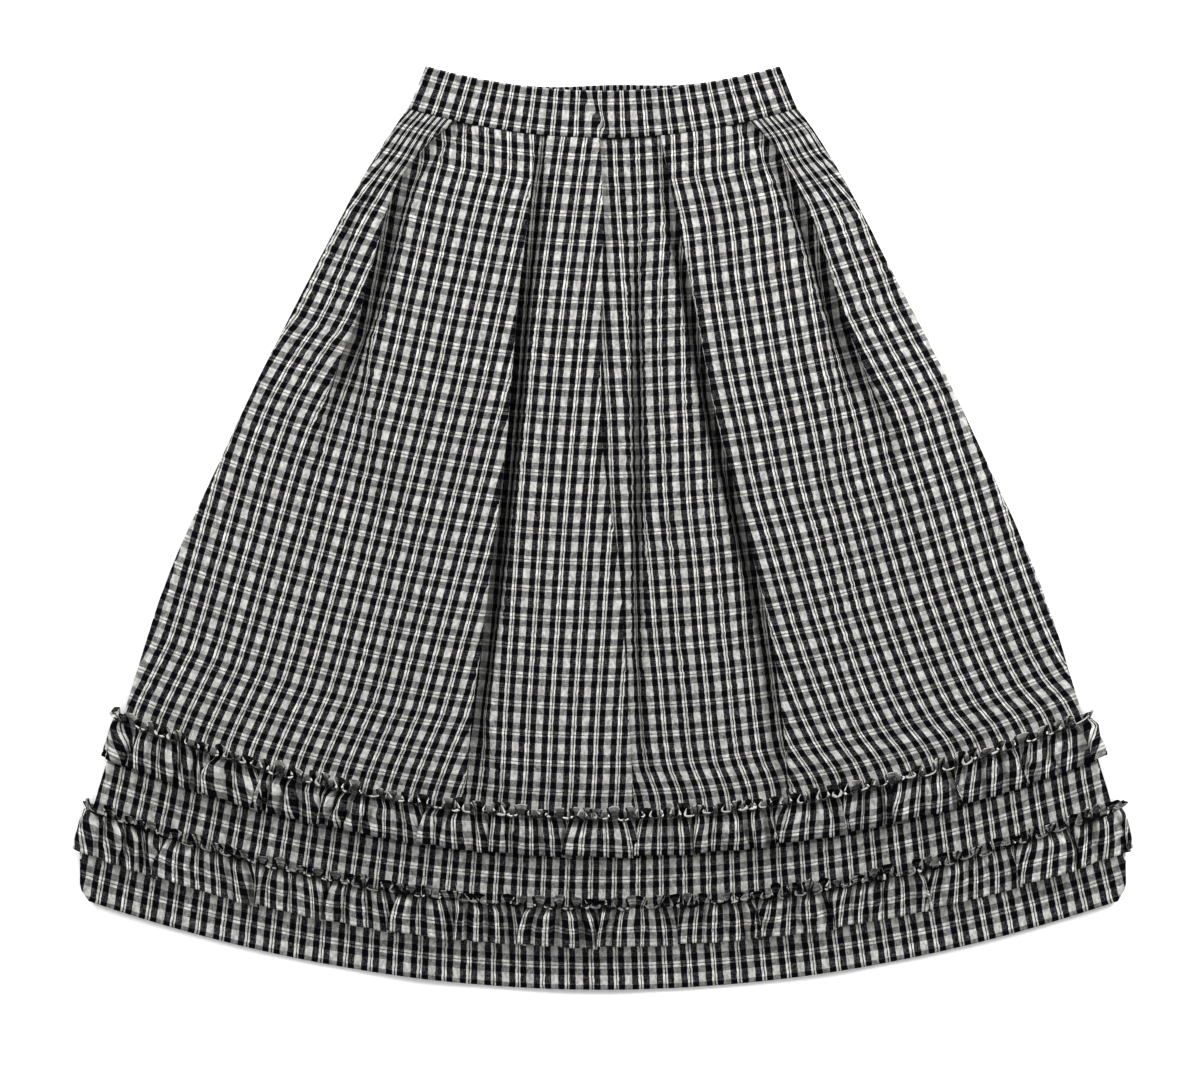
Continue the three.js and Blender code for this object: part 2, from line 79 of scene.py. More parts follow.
# The skirt's rows, at distances v down the cloth from the waist seam: half of
# the width, how far the row's ends stand above its middle, the wall, and the
# level of the front where it starts to roll over to the side seam.
ROWS = table(
    "v half rise wall side",
    (0, 176, 27, 1.5, 6.4),
    (40, 199, 33, 2, 9.4),
    (90, 225, 39, 2, 10.5),
    (160, 258, 45, 2, 10.5),
    (275, 311, 57, 2, 9.5),
    (360, 346, 67, 2, 9.5),
    (480, 394, 78, 2, 8.5),
    (604, 431, 88, 2, 6.4),
    (680, 456, 88, 2, 6.4),
    (738, 471, 85, 2, 6.4),
    (755, 471, 83, 2, 6),
    (767, 463, 80, 2, 5.6),
)

# The knife pleats, from left to right: which way the fold faces, how wide the
# channel beside it stays level, and at v the fold's edge x, the overlap (below
# zero the run of an open ramp), the height of the fold over its underlay, and
# how far the underlay stands off.
PLEAT_COLUMNS = "v x overlap height lift"
PLEATS = [
    (1, 12, table(
        PLEAT_COLUMNS,
        (0, -133, 34, 3.7, 0),
        (22, -155, 28.5, 6.5, 0),
        (70, -186, 20, 11.5, 0),
        (130, -204, 11, 15, 0),
        (190, -220, 3, 16.5, 0),
        (250, -243, -7, 13, 1.5),
        (300, -256, -16, 8.5, 4),
        (380, -268, -34, 4, 6),
        (500, -275, -45, 2.4, 4.5),
        (600, -278, -50, 1.2, 1.2),
        (767, -285, -60, 0.8, 0.2),
    )),
    (1, 8, table(
        PLEAT_COLUMNS,
        (0, -60, 43, 3.7, 0),
        (60, -66, 40, 12, 0),
        (150, -77, 33, 19, 0),
        (260, -86, 24, 22.5, 0),
        (370, -98, 14, 22.5, 0),
        (465, -110, 5, 20, 0),
        (530, -119, 0, 16, 0.2),
        (590, -124, -9, 9.5, 0.4),
        (640, -127, -22, 4.5, 0.4),
        (690, -131, -38, 2.4, 0.4),
        (767, -136, -55, 1.2, 0.2),
    )),
    (1, 4.5, table(
        PLEAT_COLUMNS,
        (0, -4, 45, 3.7, 0),
        (60, -1, 38.5, 5.4, 3),
        (150, -2, 29.5, 6, 10),
        (250, -3, 21, 6, 13.5),
        (320, 4, 16, 6.5, 13.5),
        (380, 13, 11, 7.5, 12),
        (480, 20, 4.5, 10, 7),
        (560, 25, 0.5, 10, 2.4),
        (610, 27, -10, 6, 0.6),
        (650, 28, -20, 3.6, 0.4),
        (690, 28, -32, 2, 0.3),
        (767, 28, -44, 1, 0.2),
    )),
    (-1, 5, table(
        PLEAT_COLUMNS,
        (0, 52, 52, 3.7, 0),
        (60, 64, 46, 12, 0),
        (150, 82, 36, 19, 0),
        (260, 103, 25, 22.5, 0),
        (370, 131, 15.5, 22.5, 0),
        (465, 152, 7, 20, 0),
        (530, 161, 0.5, 16, 0.2),
        (590, 167, -9, 9.5, 0.4),
        (640, 170, -22, 4.5, 0.4),
        (690, 173, -38, 2.4, 0.4),
        (767, 176, -55, 1.2, 0.2),
    )),
    (-1, 11, table(
        PLEAT_COLUMNS,
        (0, 131, 33, 3.7, 0),
        (22, 151, 27, 6.5, 0),
        (70, 175, 17.5, 11.5, 0),
        (130, 199, 9, 15, 0),
        (190, 216, 0.5, 16.5, 0),
        (250, 239, -7, 13, 1.5),
        (300, 259, -16, 8.5, 4),
        (380, 272, -34, 4, 6),
        (500, 279, -45, 2.4, 4.5),
        (600, 282, -50, 1.2, 1.2),
        (767, 288, -60, 0.8, 0.2),
    )),
]
CENTRE_PLEAT = 2

# The faces between the pleats, from left to right: the side where the face
# comes up out of a fold's shadow (or none, where it climbs evenly), and how
# much of the climb its shoulder there takes.
FACES = [
    ("", 0),
    ("left", 0.85),
    ("left", 0.85),
    ("right", 0.9),
    ("right", 0.85),
    ("", 0),
]
SHOULDER = 10  # a shoulder's width beside a closed fold
SHOULDER_SHARE = 0.8  # of its face, at most
SHOULDER_SPREAD = 2.4  # and how much wider it is for each millimetre of opening
FACE_RUN = 90  # over which a face without a shoulder climbs
HIDDEN_EDGE = 8  # over which a face's troughs fade towards a fold
LEAST_FACE = 4  # the least width that a face climbs over
FOLD_RADIUS = 2.4  # of a closed fold's edge, at most
FOLD_OPENS = 0.9  # how much rounder a fold is as it opens
FOLD_MARGIN = 3  # between what a fold hides and the climb of a face
FOLD_SAMPLES = 24
FACE_SAMPLES = 160
FACE_POINTS = [30, 82, 62, 86, 82, 30]  # points across each face of the mesh
SIDE_POINTS = 9  # and across each side's roll

# Soft troughs (and, with a depth below zero, swells) along the front's faces.
CREASE_COLUMNS = "v x depth half"
CREASES = [
    table(
        CREASE_COLUMNS,
        (0, 24, 0, 6),
        (60, 26, 2.8, 6),
        (150, 30, 9.6, 6),
        (250, 31, 12.8, 6.2),
        (330, 31, 12.8, 6.2),
        (380, 30.5, 11.4, 6.2),
        (480, 29.5, 6.8, 6.6),
        (560, 32, 2.6, 7.5),
        (620, 38, 0.4, 9),
        (767, 44, 0, 10),
    ),
    table(
        CREASE_COLUMNS,
        (0, 40, 0, 9),
        (60, 46, -1.5, 9),
        (150, 57, -3.5, 12),
        (260, 68, -5, 15),
        (380, 82, -6.5, 22),
        (480, 92, -8, 28),
        (600, 100, -3, 34),
        (767, 100, 0, 34),
    ),
]

# The side seams: how high they lie, and how wide the panels roll down to them
# at the waist and, from ROLL_FULL on, all the way to the hem.
SIDE_SEAM_HEIGHT = 3.9
SIDE_ROLL_WAIST = 4
SIDE_ROLL = 9
ROLL_FULL = 90
SEAM_UPRIGHT = 1.0  # how much of a roll stands upright where it meets the seam
ROLL_POINTS = 10
CRINKLE_SHARE = 0.45  # of the crinkle's depth that is in the front's own form
BACK_CRINKLE = 0.35  # depth of the crinkle where the back rolls up
BACK_CRINKLE_RAMP = 4  # and over what width it comes in

# The waistbands: their doubled wall, their size, where the front one's top edge
# lies (its middle, and how far its ends stand above that), its levels, the roll
# of its ends, its crinkle, and where the check lies on the two.
BAND_WALL = 3
BAND_HEIGHT = 45
BAND_HALF_TOP = 159.5
BAND_HALF_SEAM = 175
BAND_FRONT_TOP_Y = 394
BAND_RISE_TOP = 22
BAND_FRONT_TOP_Z = 5.1
BAND_FRONT_SEAM_Z = 6.3
BAND_ROLL = 3.4
BAND_CRINKLE = 0.34
BAND_WARP_DRAW = 0.955
BAND_WARP_PHASE = 5.2
BAND_LIGHT_FROM = {"front": -19, "back": 20}

# The back band shows above the front one near the middle: how far, where, and
# over what half width. Its elastic gathers it, and the gathers frill its edge.
PEEK = 5.4
PEEK_X = 9
PEEK_HALF = 52
BAND_GATHERS = 44
BAND_GATHER_DEPTH = 0.8
BAND_GATHER_STRAY = 0.35
BAND_ALONG = 160  # half the band's length, on which its irregularities lie
BAND_GATHER_DRAG = 0.4
BAND_FRILL = 0.5
BAND_FULLNESS = 1.7

# A diagonal wrinkle across the front band: its place at the seam and at the
# top edge, its half width, how deep it is, how far it drags the warp, and the
# ridge beside its trough, by half widths from it and by its share of the depth.
WRINKLE = {
    "x_seam": 7, "x_top": -17, "half": 4.6, "depth": 0.96, "drag": 3.6,
    "ridge_at": 1.8, "ridge": 0.6,
}

RUFFLES = {"upper": 609, "lower": 690}  # the row where each one's heading stands
RUFFLE_WALL = 1.0
RUFFLE_CLOTH = 50  # the strip's own width
RUFFLE_STITCH = 15  # of which this is the heading, down to the gathering stitches
RUFFLE_CLEAR = 0.35  # between a front ruffle and the panel
RUFFLE_REACH = 7  # a front ruffle bridges hollows narrower than twice this
RUFFLE_PAST_SIDE = 5  # how far its ends stand past the side seams
RUFFLE_END = 12  # the turn down to the side seam, in plan
RUFFLE_END_CLOTH = 1.35  # and its cloth's length for each millimetre of that
RUFFLE_LIGHT_FROM = {"upper": 24.5, "lower": 43}  # where the check lies on it
RUFFLE_FULLNESS = 1.25
RUFFLE_ALONG = 460  # half the strip's length, on which its irregularities lie

# What repeats along a ruffle: how many there are, how far each one strays as a
# share of itself, over what length, and the number of its random draw.
RUFFLE_REPEATS = {
    "gather": (176, 0.6, 9, 1),
    "wave": (44, 0.5, 31, 0),
    "loop": (61, 0.5, 21, 6),
    "bell": (14, 0.45, 95, 8),
}

# What varies along it: a middle value, by how much, over what length, and the
# number of its random draw.
RUFFLE_VARIES = {
    "tall": (0.75, 0.6, 24, 3),
    "sway": (0, 1, 30, 4),
    "loops_tall": (0.75, 0.35, 19, 7),
}
RUFFLE_TALL_RANGE = (0.15, 1.2)
RUFFLE_TWIST = 0.16  # how far a wave's number strays across the ruffle
RUFFLE_GATHER_TWIST = 0.12  # and a gather's
RUFFLE_VALLEY = 0.42  # the share of a wave's height that its flat valley cuts off
RUFFLE_LOOP_LOW = 0.15  # how much lower than half way the heading's loops lie
RUFFLE_CURL = 3.3  # sideways, which closes the heading's loops
RUFFLE_END_CALM = 0.35  # share of the waves' height that is left at the side seam
RUFFLE_END_OFF = 0.4  # and of the distance off the panel
RUFFLE_PRESSED = 0.35  # share of the height left in the back ruffles' ends
RUFFLE_PRESSED_EDGE = 16  # over which they rise from where they are pressed flat
RUFFLE_PRESSED_LEAST = 0.2  # the least that their upper side is off the surface

# Towards the free edge a ruffle falls in bells, each over the one before: the
# part of a bell that runs back, how high its edge lies, how far the cloth moves
# up and down the skirt and sideways, and the bells' sizes, a middle and a range
# that a sine goes through by so much from one bell to the next.
BELL_TURN = 0.17
BELL_HEIGHT = 8
BELL_DROP = 2.2
BELL_FAN = 9.5
BELL_SIZE = (0.7, 0.3)
BELL_SIZE_TURN = 2.4

# The row of stitches along the free edge's narrow hem draws the cloth in.
RUFFLE_HEM = 46.2
RUFFLE_THREAD = 0.6
RUFFLE_HEM_DENT = 0.7

# Across a ruffle, by its own cloth from the frilled heading to the free edge:
# the distance down the skirt, how far it stands off the panel, the height of
# its waves and of the tight gathers, and how much the waves lean and the bells
# fan out.
RUFFLE_SECTION = table(
    "cloth down off wave gather lean fan",
    (0, -1.0, 12.8, 14.5, 0.2, 0, 0),
    (5, 0.3, 9.4, 12, 0.3, 0, 0),
    (11, 2.0, 4.0, 6, 0.6, 0, 0),
    (15, 3.5, 0.1, 0.8, 1.0, 0, 0),
    (18, 5.4, 2.4, 2.6, 1.6, 0.3, 0.1),
    (24, 10.8, 2.4, 8, 1.0, 0.6, 0.4),
    (37, 24, 1.0, 8.6, 0.5, 0.6, 0.85),
    (50, 37.3, 0.5, 7.6, 0.3, 0.6, 1),
)

# Beyond the outer pleats the waist seam eases in this much more cloth again,
# down to the row EASE_END.
WAIST_EASE = 1.1
EASE_END = 120

# How far the warp at the centre pleat's edge leans over by v, and how much
# wider the cloth lies at v than at the waist, as the crinkle draws it in. The
# hem, sewn flat, lies widest.
LEAN = table("v lean", (0, 0), (200, 24), (420, 42), (600, 51), (680, 51), (767, 49))
SPREAD = table("v k", (0, 0.985), (100, 1), (540, 1), (620, 1.014), (767, 1.08))

# ------------------------------------------------------------- small tools


def column(rows, name, v, by="v"):
    """One column of a table at the values v of its column by: a cubic through
    its rows that never overshoots them, with harmonic means as its slopes."""
    x, y = rows[by], rows[name]
    slope = np.diff(y) / np.diff(x)
    before, after = slope[:-1], slope[1:]
    both = np.where(before + after == 0, 1, before + after)
    middle = np.where(before * after > 0, 2 * before * after / both, 0)
    tangent = np.concatenate([slope[:1], middle, slope[-1:]])
    v = np.asarray(v, float)
    k = np.clip(np.searchsorted(x, v) - 1, 0, len(x) - 2)
    span = x[k + 1] - x[k]
    t = np.clip((v - x[k]) / span, 0, 1)
    t2, t3 = t**2, t**3
    return (
        (2 * t3 - 3 * t2 + 1) * y[k]
        + (t3 - 2 * t2 + t) * span * tangent[k]
        + (3 * t2 - 2 * t3) * y[k + 1]
        + (t3 - t2) * span * tangent[k + 1]
    )


def smooth(t):
    """A soft step from 0 to 1 as t goes from 0 to 1."""
    t = np.clip(t, 0, 1)
    return t * t * (3 - 2 * t)


def lumps(u, v, wide, tall, seed):
    """Smooth random bumps, wide by tall across, from -1 to 1: random heights
    at the knots of a grid, joined by soft steps."""
    knots = np.random.default_rng(seed).uniform(-1, 1, (128, 128))
    a, b = np.asarray(u) / wide, np.asarray(v) / tall
    i, j = np.floor(a).astype(int), np.floor(b).astype(int)
    s, t = smooth(a - i), smooth(b - j)
    near = knots[i % 128, j % 128] * (1 - s) + knots[(i + 1) % 128, j % 128] * s
    far = knots[i % 128, (j + 1) % 128] * (1 - s) + knots[(i + 1) % 128, (j + 1) % 128] * s
    return near * (1 - t) + far * t


# ------------------------------------------------------------- skirt's rows


def half_width(v):
    """Half the skirt's width at v, from the table of rows."""
    return column(ROWS, "half", v)


def wall_at(v):
    """The front's wall at v, from the table of rows."""
    return column(ROWS, "wall", v)


def row_y(x, v):
    """Y of a row's points: a shallow bowl, its ends above its middle."""
    return SEAM_Y - v + column(ROWS, "rise", v) * (x / half_width(v)) ** 2


def back_lift(v):
    """Lift that the pressed back ruffles give to all that lies on them."""
    over = [
        np.minimum((v - (row - LIFT_ABOVE)) / LIFT_RAMP, (row + LIFT_BELOW - v) / LIFT_RAMP)
        for row in RUFFLES.values()
    ]
    return LEVEL_STEP * np.clip(np.maximum(*over), 0, 1)


def roll_width(v):
    """Width of a side's roll: a soft step from its waist to its full width."""
    return SIDE_ROLL_WAIST + (SIDE_ROLL - SIDE_ROLL_WAIST) * smooth(v / ROLL_FULL)


def fold_at(faces, rows, v, base):
    """A pleat's fold at rows v: an arc over the crest, a straight return and an
    arc onto the underlay. With an overlap the return runs back below the
    crest; with none the fold opens to an S-shaped ramp. Gives the plan places
    and levels from left to right, and the ends of what the fold hides."""
    edge, overlap, height, lift = (
        column(rows, name, v)[:, None] for name in ("x", "overlap", "height", "lift")
    )
    opened = np.maximum(-overlap, 0)
    radius = np.minimum(height / 4, FOLD_RADIUS) + FOLD_OPENS * opened**2 / (4 * height)
    span = np.hypot(overlap, height - 2 * radius)
    turn = np.arctan2(height - 2 * radius, -overlap) + np.arcsin(
        np.minimum(2 * radius / np.maximum(span, 1e-6), 1)
    )
    straight = np.sqrt(np.maximum(overlap**2 + height**2 - 4 * radius * height, 0))
    t = np.linspace(0, 1, FOLD_SAMPLES)
    x1, z1 = radius * np.sin(turn * t), radius * (np.cos(turn * t) - 1)
    x2 = x1[:, -1:] + straight * t * np.cos(turn)
    z2 = z1[:, -1:] - straight * t * np.sin(turn)
    back = turn * (1 - t)
    x3 = x2[:, -1:] + radius * (np.sin(turn) - np.sin(back))
    z3 = z2[:, -1:] - radius * (np.cos(back) - np.cos(turn))
    crest = -radius * np.sin(np.minimum(turn, math.pi / 2))
    x = edge + faces * (crest + np.hstack([x1, x2[:, 1:], x3[:, 1:]]))
    z = base[:, None] + lift + height + np.hstack([z1, z2[:, 1:], z3[:, 1:]])
    closed = overlap > 0
    outer = edge + faces * opened * 0.5
    inner = edge + faces * np.where(closed, crest - np.maximum(overlap, 0) - radius, crest)
    return x[:, ::faces], z[:, ::faces], outer, inner, opened


def crease_depth(x, v):
    """Depth of all soft troughs at the places x of the rows v."""
    depth = 0
    for rows in CREASES:
        reach = (x - column(rows, "x", v)[:, None]) / column(rows, "half", v)[:, None]
        depth = depth + column(rows, "depth", v)[:, None] * np.exp(-(np.abs(reach) ** 3))
    return depth


def face_at(face, opened, start, end, a, b, v):
    """A face between two folds: level where a fold hides it, with a climb
    between a and b, most of it at the shoulder beside the deeper fold, which
    spreads as that one opens."""
    shadow, share = face
    (x0, z0), (x1, z1) = start, end
    x = x0 + (x1 - x0) * np.linspace(0, 1, FACE_SAMPLES)[1:-1]
    room = np.maximum(b - a, LEAST_FACE)
    shoulder = np.minimum(SHOULDER_SHARE * room, SHOULDER + SHOULDER_SPREAD * opened)
    if shadow == "left":
        climb = share * smooth((x - a) / shoulder) + (1 - share) * smooth((x - a) / room)
    elif shadow == "right":
        left = share * smooth((b - x) / shoulder) + (1 - share) * smooth((b - x) / room)
        climb = 1 - left
    else:
        run = np.minimum(room, FACE_RUN)
        first = np.where(z1 > z0, a + room - run, a)
        climb = smooth((x - first) / run)
    seen = smooth((x - a) / HIDDEN_EDGE + 0.5) * smooth((b - x) / HIDDEN_EDGE + 0.5)
    return x, z0 + (z1 - z0) * climb - seen * crease_depth(x, v)


def roll_points(side, half, width, level, seam_level):
    """Half of a side's roll: out and down or up to the side seam's height in a
    quarter of an ellipse, and then upright. Listed from the panel outwards."""
    upright = np.where(level > seam_level, SEAM_UPRIGHT, -SEAM_UPRIGHT)
    a = np.linspace(0, math.pi / 2, ROLL_POINTS)
    x = side * (half - width + width * np.sin(a))
    z = seam_level + upright + (level - seam_level - upright) * np.cos(a)
    x = np.hstack([x, side * half + 0 * x[:, :1]])
    z = np.hstack([z, seam_level + 0 * z[:, :1]])
    return x, z


def rolled_section(half, width, level, seam, columns):
    """Sections of a level panel whose sides roll to their seams."""
    left_x, left_z = roll_points(-1, half, width, level, seam)
    right_x, right_z = roll_points(1, half, width, level, seam)
    t = np.linspace(0, 1, columns)[1:-1]
    middle_x = left_x[:, :1] + (right_x[:, :1] - left_x[:, :1]) * t
    x = np.hstack([left_x[:, ::-1], middle_x, right_x])
    z = np.hstack([left_z[:, ::-1], level + 0 * middle_x, right_z])
    return x, z


def front_sections(v):
    """Sections of the front panel at the rows v, from side seam to side seam,
    as a list of stretches (places, levels), a face and a fold in turn."""
    wall = wall_at(v)
    lift = back_lift(v)
    base = BACK_WALL + GAP + wall / 2 + lift
    folds = [fold_at(faces, rows, v, base) for faces, _, rows in PLEATS]
    half = (half_width(v) - wall / 2)[:, None]
    width = roll_width(v)[:, None]
    level = (column(ROWS, "side", v) + lift)[:, None]
    seam = (SIDE_SEAM_HEIGHT + GAP / 2 + lift)[:, None]
    left_x, left_z = roll_points(-1, half, width, level, seam)
    right_x, right_z = roll_points(1, half, width, level, seam)
    stretches = [(left_x[:, ::-1], left_z[:, ::-1])]
    start, a = (left_x[:, :1], left_z[:, :1]), left_x[:, :1] + FOLD_MARGIN
    for k, face in enumerate(FACES):
        if k < len(folds):
            x, z, outer, inner, opened = folds[k]
            faces, channel = PLEATS[k][:2]
            end = x[:, :1], z[:, :1]
            b = inner - FOLD_MARGIN if faces > 0 else outer - channel
        else:
            end = right_x[:, :1], right_z[:, :1]
            b = end[0] - FOLD_MARGIN
        if face[0] == "left":
            opened = folds[k - 1][4]
        stretches.append(face_at(face, opened, start, end, a, b, v))
        if k == len(folds):
            break
        stretches.append((x, z))
        start = x[:, -1:], z[:, -1:]
        a = outer + channel if faces > 0 else inner + FOLD_MARGIN
    return [*stretches, (right_x, right_z)]


# Points lie closer together, by up to CLOSER, where the cloth turns by
# SHARP_BEND or more in a millimetre. SAMPLES finds their places, and BLUR of
# them spread each change.
CLOSER = 3
SHARP_BEND = 0.25
SAMPLES = 600
BLUR = 25


def respaced(x, z, columns):
    """Each row's points of one stretch spaced again along the cloth: about
    even, closer together where the cloth turns sharply. Gives the places, the
    levels and the way u along the stretch."""
    step = np.hypot(np.diff(x), np.diff(z))
    u = np.hstack([np.zeros((len(x), 1)), np.cumsum(step, 1)])
    heading = np.unwrap(np.arctan2(np.diff(z), np.diff(x)), axis=1)
    bend = np.abs(np.diff(heading, axis=1)) / np.maximum(step[:, 1:], 1e-6)
    weight = 1 + CLOSER * np.minimum(bend / SHARP_BEND, 1)
    weight = np.hstack([weight[:, :1], weight, weight[:, -1:]])
    fine = np.linspace(0, 1, SAMPLES)
    out = []
    for row_x, row_z, row_u, row_w in zip(x, z, u, weight):
        even_u = fine * row_u[-1]
        w = np.interp(even_u, row_u, row_w)
        w = np.convolve(np.pad(w, BLUR // 2, "edge"), np.full(BLUR, 1 / BLUR), "valid")
        share = np.concatenate([[0], np.cumsum((w[1:] + w[:-1]) / 2)])
        at = np.interp(np.linspace(0, share[-1], columns), share, even_u)
        out.append((np.interp(at, row_u, row_x), np.interp(at, row_u, row_z), at))
    return (np.array(part) for part in zip(*out))


def front_sheet(v, counts):
    """The front panel's rows v with the same number of points in each: counts
    gives those of every stretch. Gives the places, the levels and the cloth's
    own width u from the centre pleat's edge, a sixth into that fold's points."""
    xs, zs, us = [], [], []
    way = np.zeros((len(v), 1))
    for (x, z), count in zip(front_sections(v), counts):
        x, z, u = respaced(x, z, count)
        first = 1 if xs and np.allclose(xs[-1][:, -1], x[:, 0]) else 0
        gap = 0
        if xs and not first:
            gap = np.hypot(x[:, :1] - xs[-1][:, -1:], z[:, :1] - zs[-1][:, -1:])
        way = way + gap
        xs.append(x[:, first:])
        zs.append(z[:, first:])
        us.append((way + u)[:, first:])
        way = way + u[:, -1:]
    anchor = us[2 * (CENTRE_PLEAT + 1)]
    anchor = anchor[:, anchor.shape[1] // 6][:, None]
    return np.hstack(xs), np.hstack(zs), np.hstack(us) - anchor


# -------------------------------------------------------------- mesh making


def outward(points):
    """Unit normals of a sheet of points, rows down and columns to the right."""
    along = np.gradient(points, axis=1)
    down = np.gradient(points, axis=0)
    out = np.cross(down, along)
    return out / np.maximum(np.linalg.norm(out, axis=2, keepdims=True), 1e-9)


def rim(fine, coarse, kept):
    """Triangles that join a fine edge to a coarse one that keeps only some of
    its points. fine and coarse are vertex numbers, kept the fine places of the
    coarse points."""
    j = np.arange(len(fine) - 1)
    nearest = np.searchsorted((kept[1:] + kept[:-1]) / 2, j + 0.5)
    m = np.arange(len(coarse) - 1)
    turn = np.searchsorted(nearest, m + 1)
    first = np.stack([fine[j], coarse[nearest], fine[j + 1]], 1)
    second = np.stack([coarse[m], coarse[m + 1], fine[turn]], 1)
    return np.vstack([first, second])


def grid_quads(ids):
    """Quads of a grid of vertex numbers, facing up for rows down, columns right."""
    return np.stack([ids[:-1, :-1], ids[1:, :-1], ids[1:, 1:], ids[:-1, 1:]], -1).reshape(-1, 4)


def kept_places(count, every, ends=1):
    """Every so many places of a line, with the last few at each end."""
    middle = range(ends, count - ends, every)
    return np.unique([*range(ends), *middle, *range(count - ends, count)])


def wall_piece(name, outer, inner, uv, every, nodes, material, ends=1, steep=None):
    """A closed wall of cloth. outer is the grid of the side that shows, inner
    that of the hidden side, of which only every so many points are kept. steep
    says of outer's points how steeply the cloth stands, from 0 to 1."""
    rows, columns = outer.shape[:2]
    keep_i = kept_places(rows, every, ends)
    keep_j = kept_places(columns, every)
    hidden = inner[np.ix_(keep_i, keep_j)]
    ids = np.arange(rows * columns).reshape(rows, columns)
    under = ids.size + np.arange(hidden[..., 0].size).reshape(hidden.shape[:2])
    quads = np.vstack([grid_quads(ids), grid_quads(under)[:, ::-1]])
    tris = np.vstack([
        rim(ids[:, 0], under[:, 0], keep_i),
        rim(ids[:, -1], under[:, -1], keep_i)[:, ::-1],
        rim(ids[0], under[0], keep_j)[:, ::-1],
        rim(ids[-1], under[-1], keep_j),
    ])
    points = np.vstack([outer.reshape(-1, 3), hidden.reshape(-1, 3)]) * MM
    cloth = np.vstack([uv.reshape(-1, 2), uv[np.ix_(keep_i, keep_j)].reshape(-1, 2)]) * MM
    mesh = bpy.data.meshes.new(name)
    mesh.from_pydata(points.tolist(), [], quads.tolist() + tris.tolist())
    mesh.polygons.foreach_set("use_smooth", np.ones(len(mesh.polygons), bool))
    corner = np.empty(len(mesh.loops), np.int32)
    mesh.loops.foreach_get("vertex_index", corner)
    layer = mesh.uv_layers.new(name="cloth")
    layer.data.foreach_set("uv", cloth[corner].ravel().astype(np.float32))
    if steep is not None:
        values = np.zeros(len(points), np.float32)
        values[: ids.size] = steep.ravel()
        mesh.attributes.new("steep", "FLOAT", "POINT").data.foreach_set("value", values)
    mesh.materials.append(material)
    mesh.update()
    piece = bpy.data.objects.new(name, mesh)
    bpy.context.scene.collection.objects.link(piece)
    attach(piece, "root")
    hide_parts(*nodes)
    return piece


# ------------------------------------------------------------------ material


class Wire:
    """A value in a material's node tree. Arithmetic on it adds Math nodes."""

    def __init__(self, tree, socket):
        self.tree = tree
        self.socket = socket

    def op(self, operation, *others):
        node = self.tree.nodes.new("ShaderNodeMath")
        node.operation = operation
        for slot, value in zip(node.inputs, (self, *others)):
            if isinstance(value, Wire):
                self.tree.links.new(value.socket, slot)
            else:
                slot.default_value = value
        return Wire(self.tree, node.outputs[0])

    def __add__(self, other):
        return self.op("ADD", other)

    def __sub__(self, other):
        return self.op("SUBTRACT", other)

    def __mul__(self, other):
        return self.op("MULTIPLY", other)

    def __truediv__(self, other):
        return self.op("DIVIDE", other)


def noise(tree, cloth, across, along, detail=1.0):
    """Noise around zero, about -0.5 to 0.5, on the cloth's vector, with lumps
    across by along millimetres in size."""
    size = tree.nodes.new("ShaderNodeVectorMath")
    size.operation = "MULTIPLY"
    size.inputs[1].default_value = (1 / (across * MM), 1 / (along * MM), 1)
    tree.links.new(cloth, size.inputs[0])
    node = tree.nodes.new("ShaderNodeTexNoise")
    node.noise_dimensions = "2D"
    node.inputs["Scale"].default_value = 1.0
    node.inputs["Detail"].default_value = detail
    tree.links.new(size.outputs[0], node.inputs["Vector"])
    return Wire(tree, node.outputs["Fac"]) - 0.5


def repeat_of(chart):
    """Width of one repeat of a yarn order."""
    return sum(width for width, _ in chart)


def stripes(tree, place, chart):
    """Masks of a striped yarn order, one for each kind of yarn. chart lists
    (width, kind) across one repeat; place is 0 to 1 across it."""
    ramp = tree.nodes.new("ShaderNodeValToRGB")
    kinds = {"white": (1, 0, 0, 1), "light": (0, 1, 0, 1), "dark": (0, 0, 1, 1)}
    total = repeat_of(chart)
    soft = YARN_EDGE / total
    stops, at = [], 0.0
    for width, kind in chart:
        stops += [(at + soft, kinds[kind]), (at + width / total - soft, kinds[kind])]
        at += width / total
    elements = ramp.color_ramp.elements
    for place_at, colour in stops[2:]:
        elements.new(place_at).color = colour
    for element, (place_at, colour) in zip(elements, stops):
        element.position = place_at
        element.color = colour
    tree.links.new(place.socket, ramp.inputs["Fac"])
    split = tree.nodes.new("ShaderNodeSeparateColor")
    tree.links.new(ramp.outputs["Color"], split.inputs[0])
    return {kind: Wire(tree, split.outputs[k]) for k, kind in enumerate(kinds)}


def mixed(tree, factor, first, second):
    """A colour between two, each a socket or a plain colour."""
    node = tree.nodes.new("ShaderNodeMix")
    node.data_type = "RGBA"
    tree.links.new(factor.socket, node.inputs["Factor"])
    for slot, value in ((node.inputs[6], first), (node.inputs[7], second)):
        if isinstance(value, bpy.types.NodeSocket):
            tree.links.new(value, slot)
        else:
            slot.default_value = (*value, 1)
    return node.outputs[2]


# One repeat of the check, charted: widths in millimetres. The crinkle
# draws the warp together.
WARP_CHART = [
    (2.1, "white"), (0.8, "dark"), (1.5, "white"), (5.4, "dark"), (6.4, "light"), (5.4, "dark"),
]
WEFT_CHART = [
    (8.6, "light"), (6.2, "dark"), (2.2, "white"), (1.1, "dark"), (1.9, "white"), (6.0, "dark"),
]
WARP_DRAW = 0.954
YARN_EDGE = 0.25  # over which one stripe goes over into the next

# How much of the weft shows, for each yarn of the warp and of the weft.
WEFT_SHARE = {
    "dark": {"white": 0.14, "light": 0.11, "dark": 0.5},
    "light": {"white": 0.42, "light": 0.3, "dark": 0.48},
    "white": {"white": 0.4, "light": 0.3, "dark": 0.34},
}
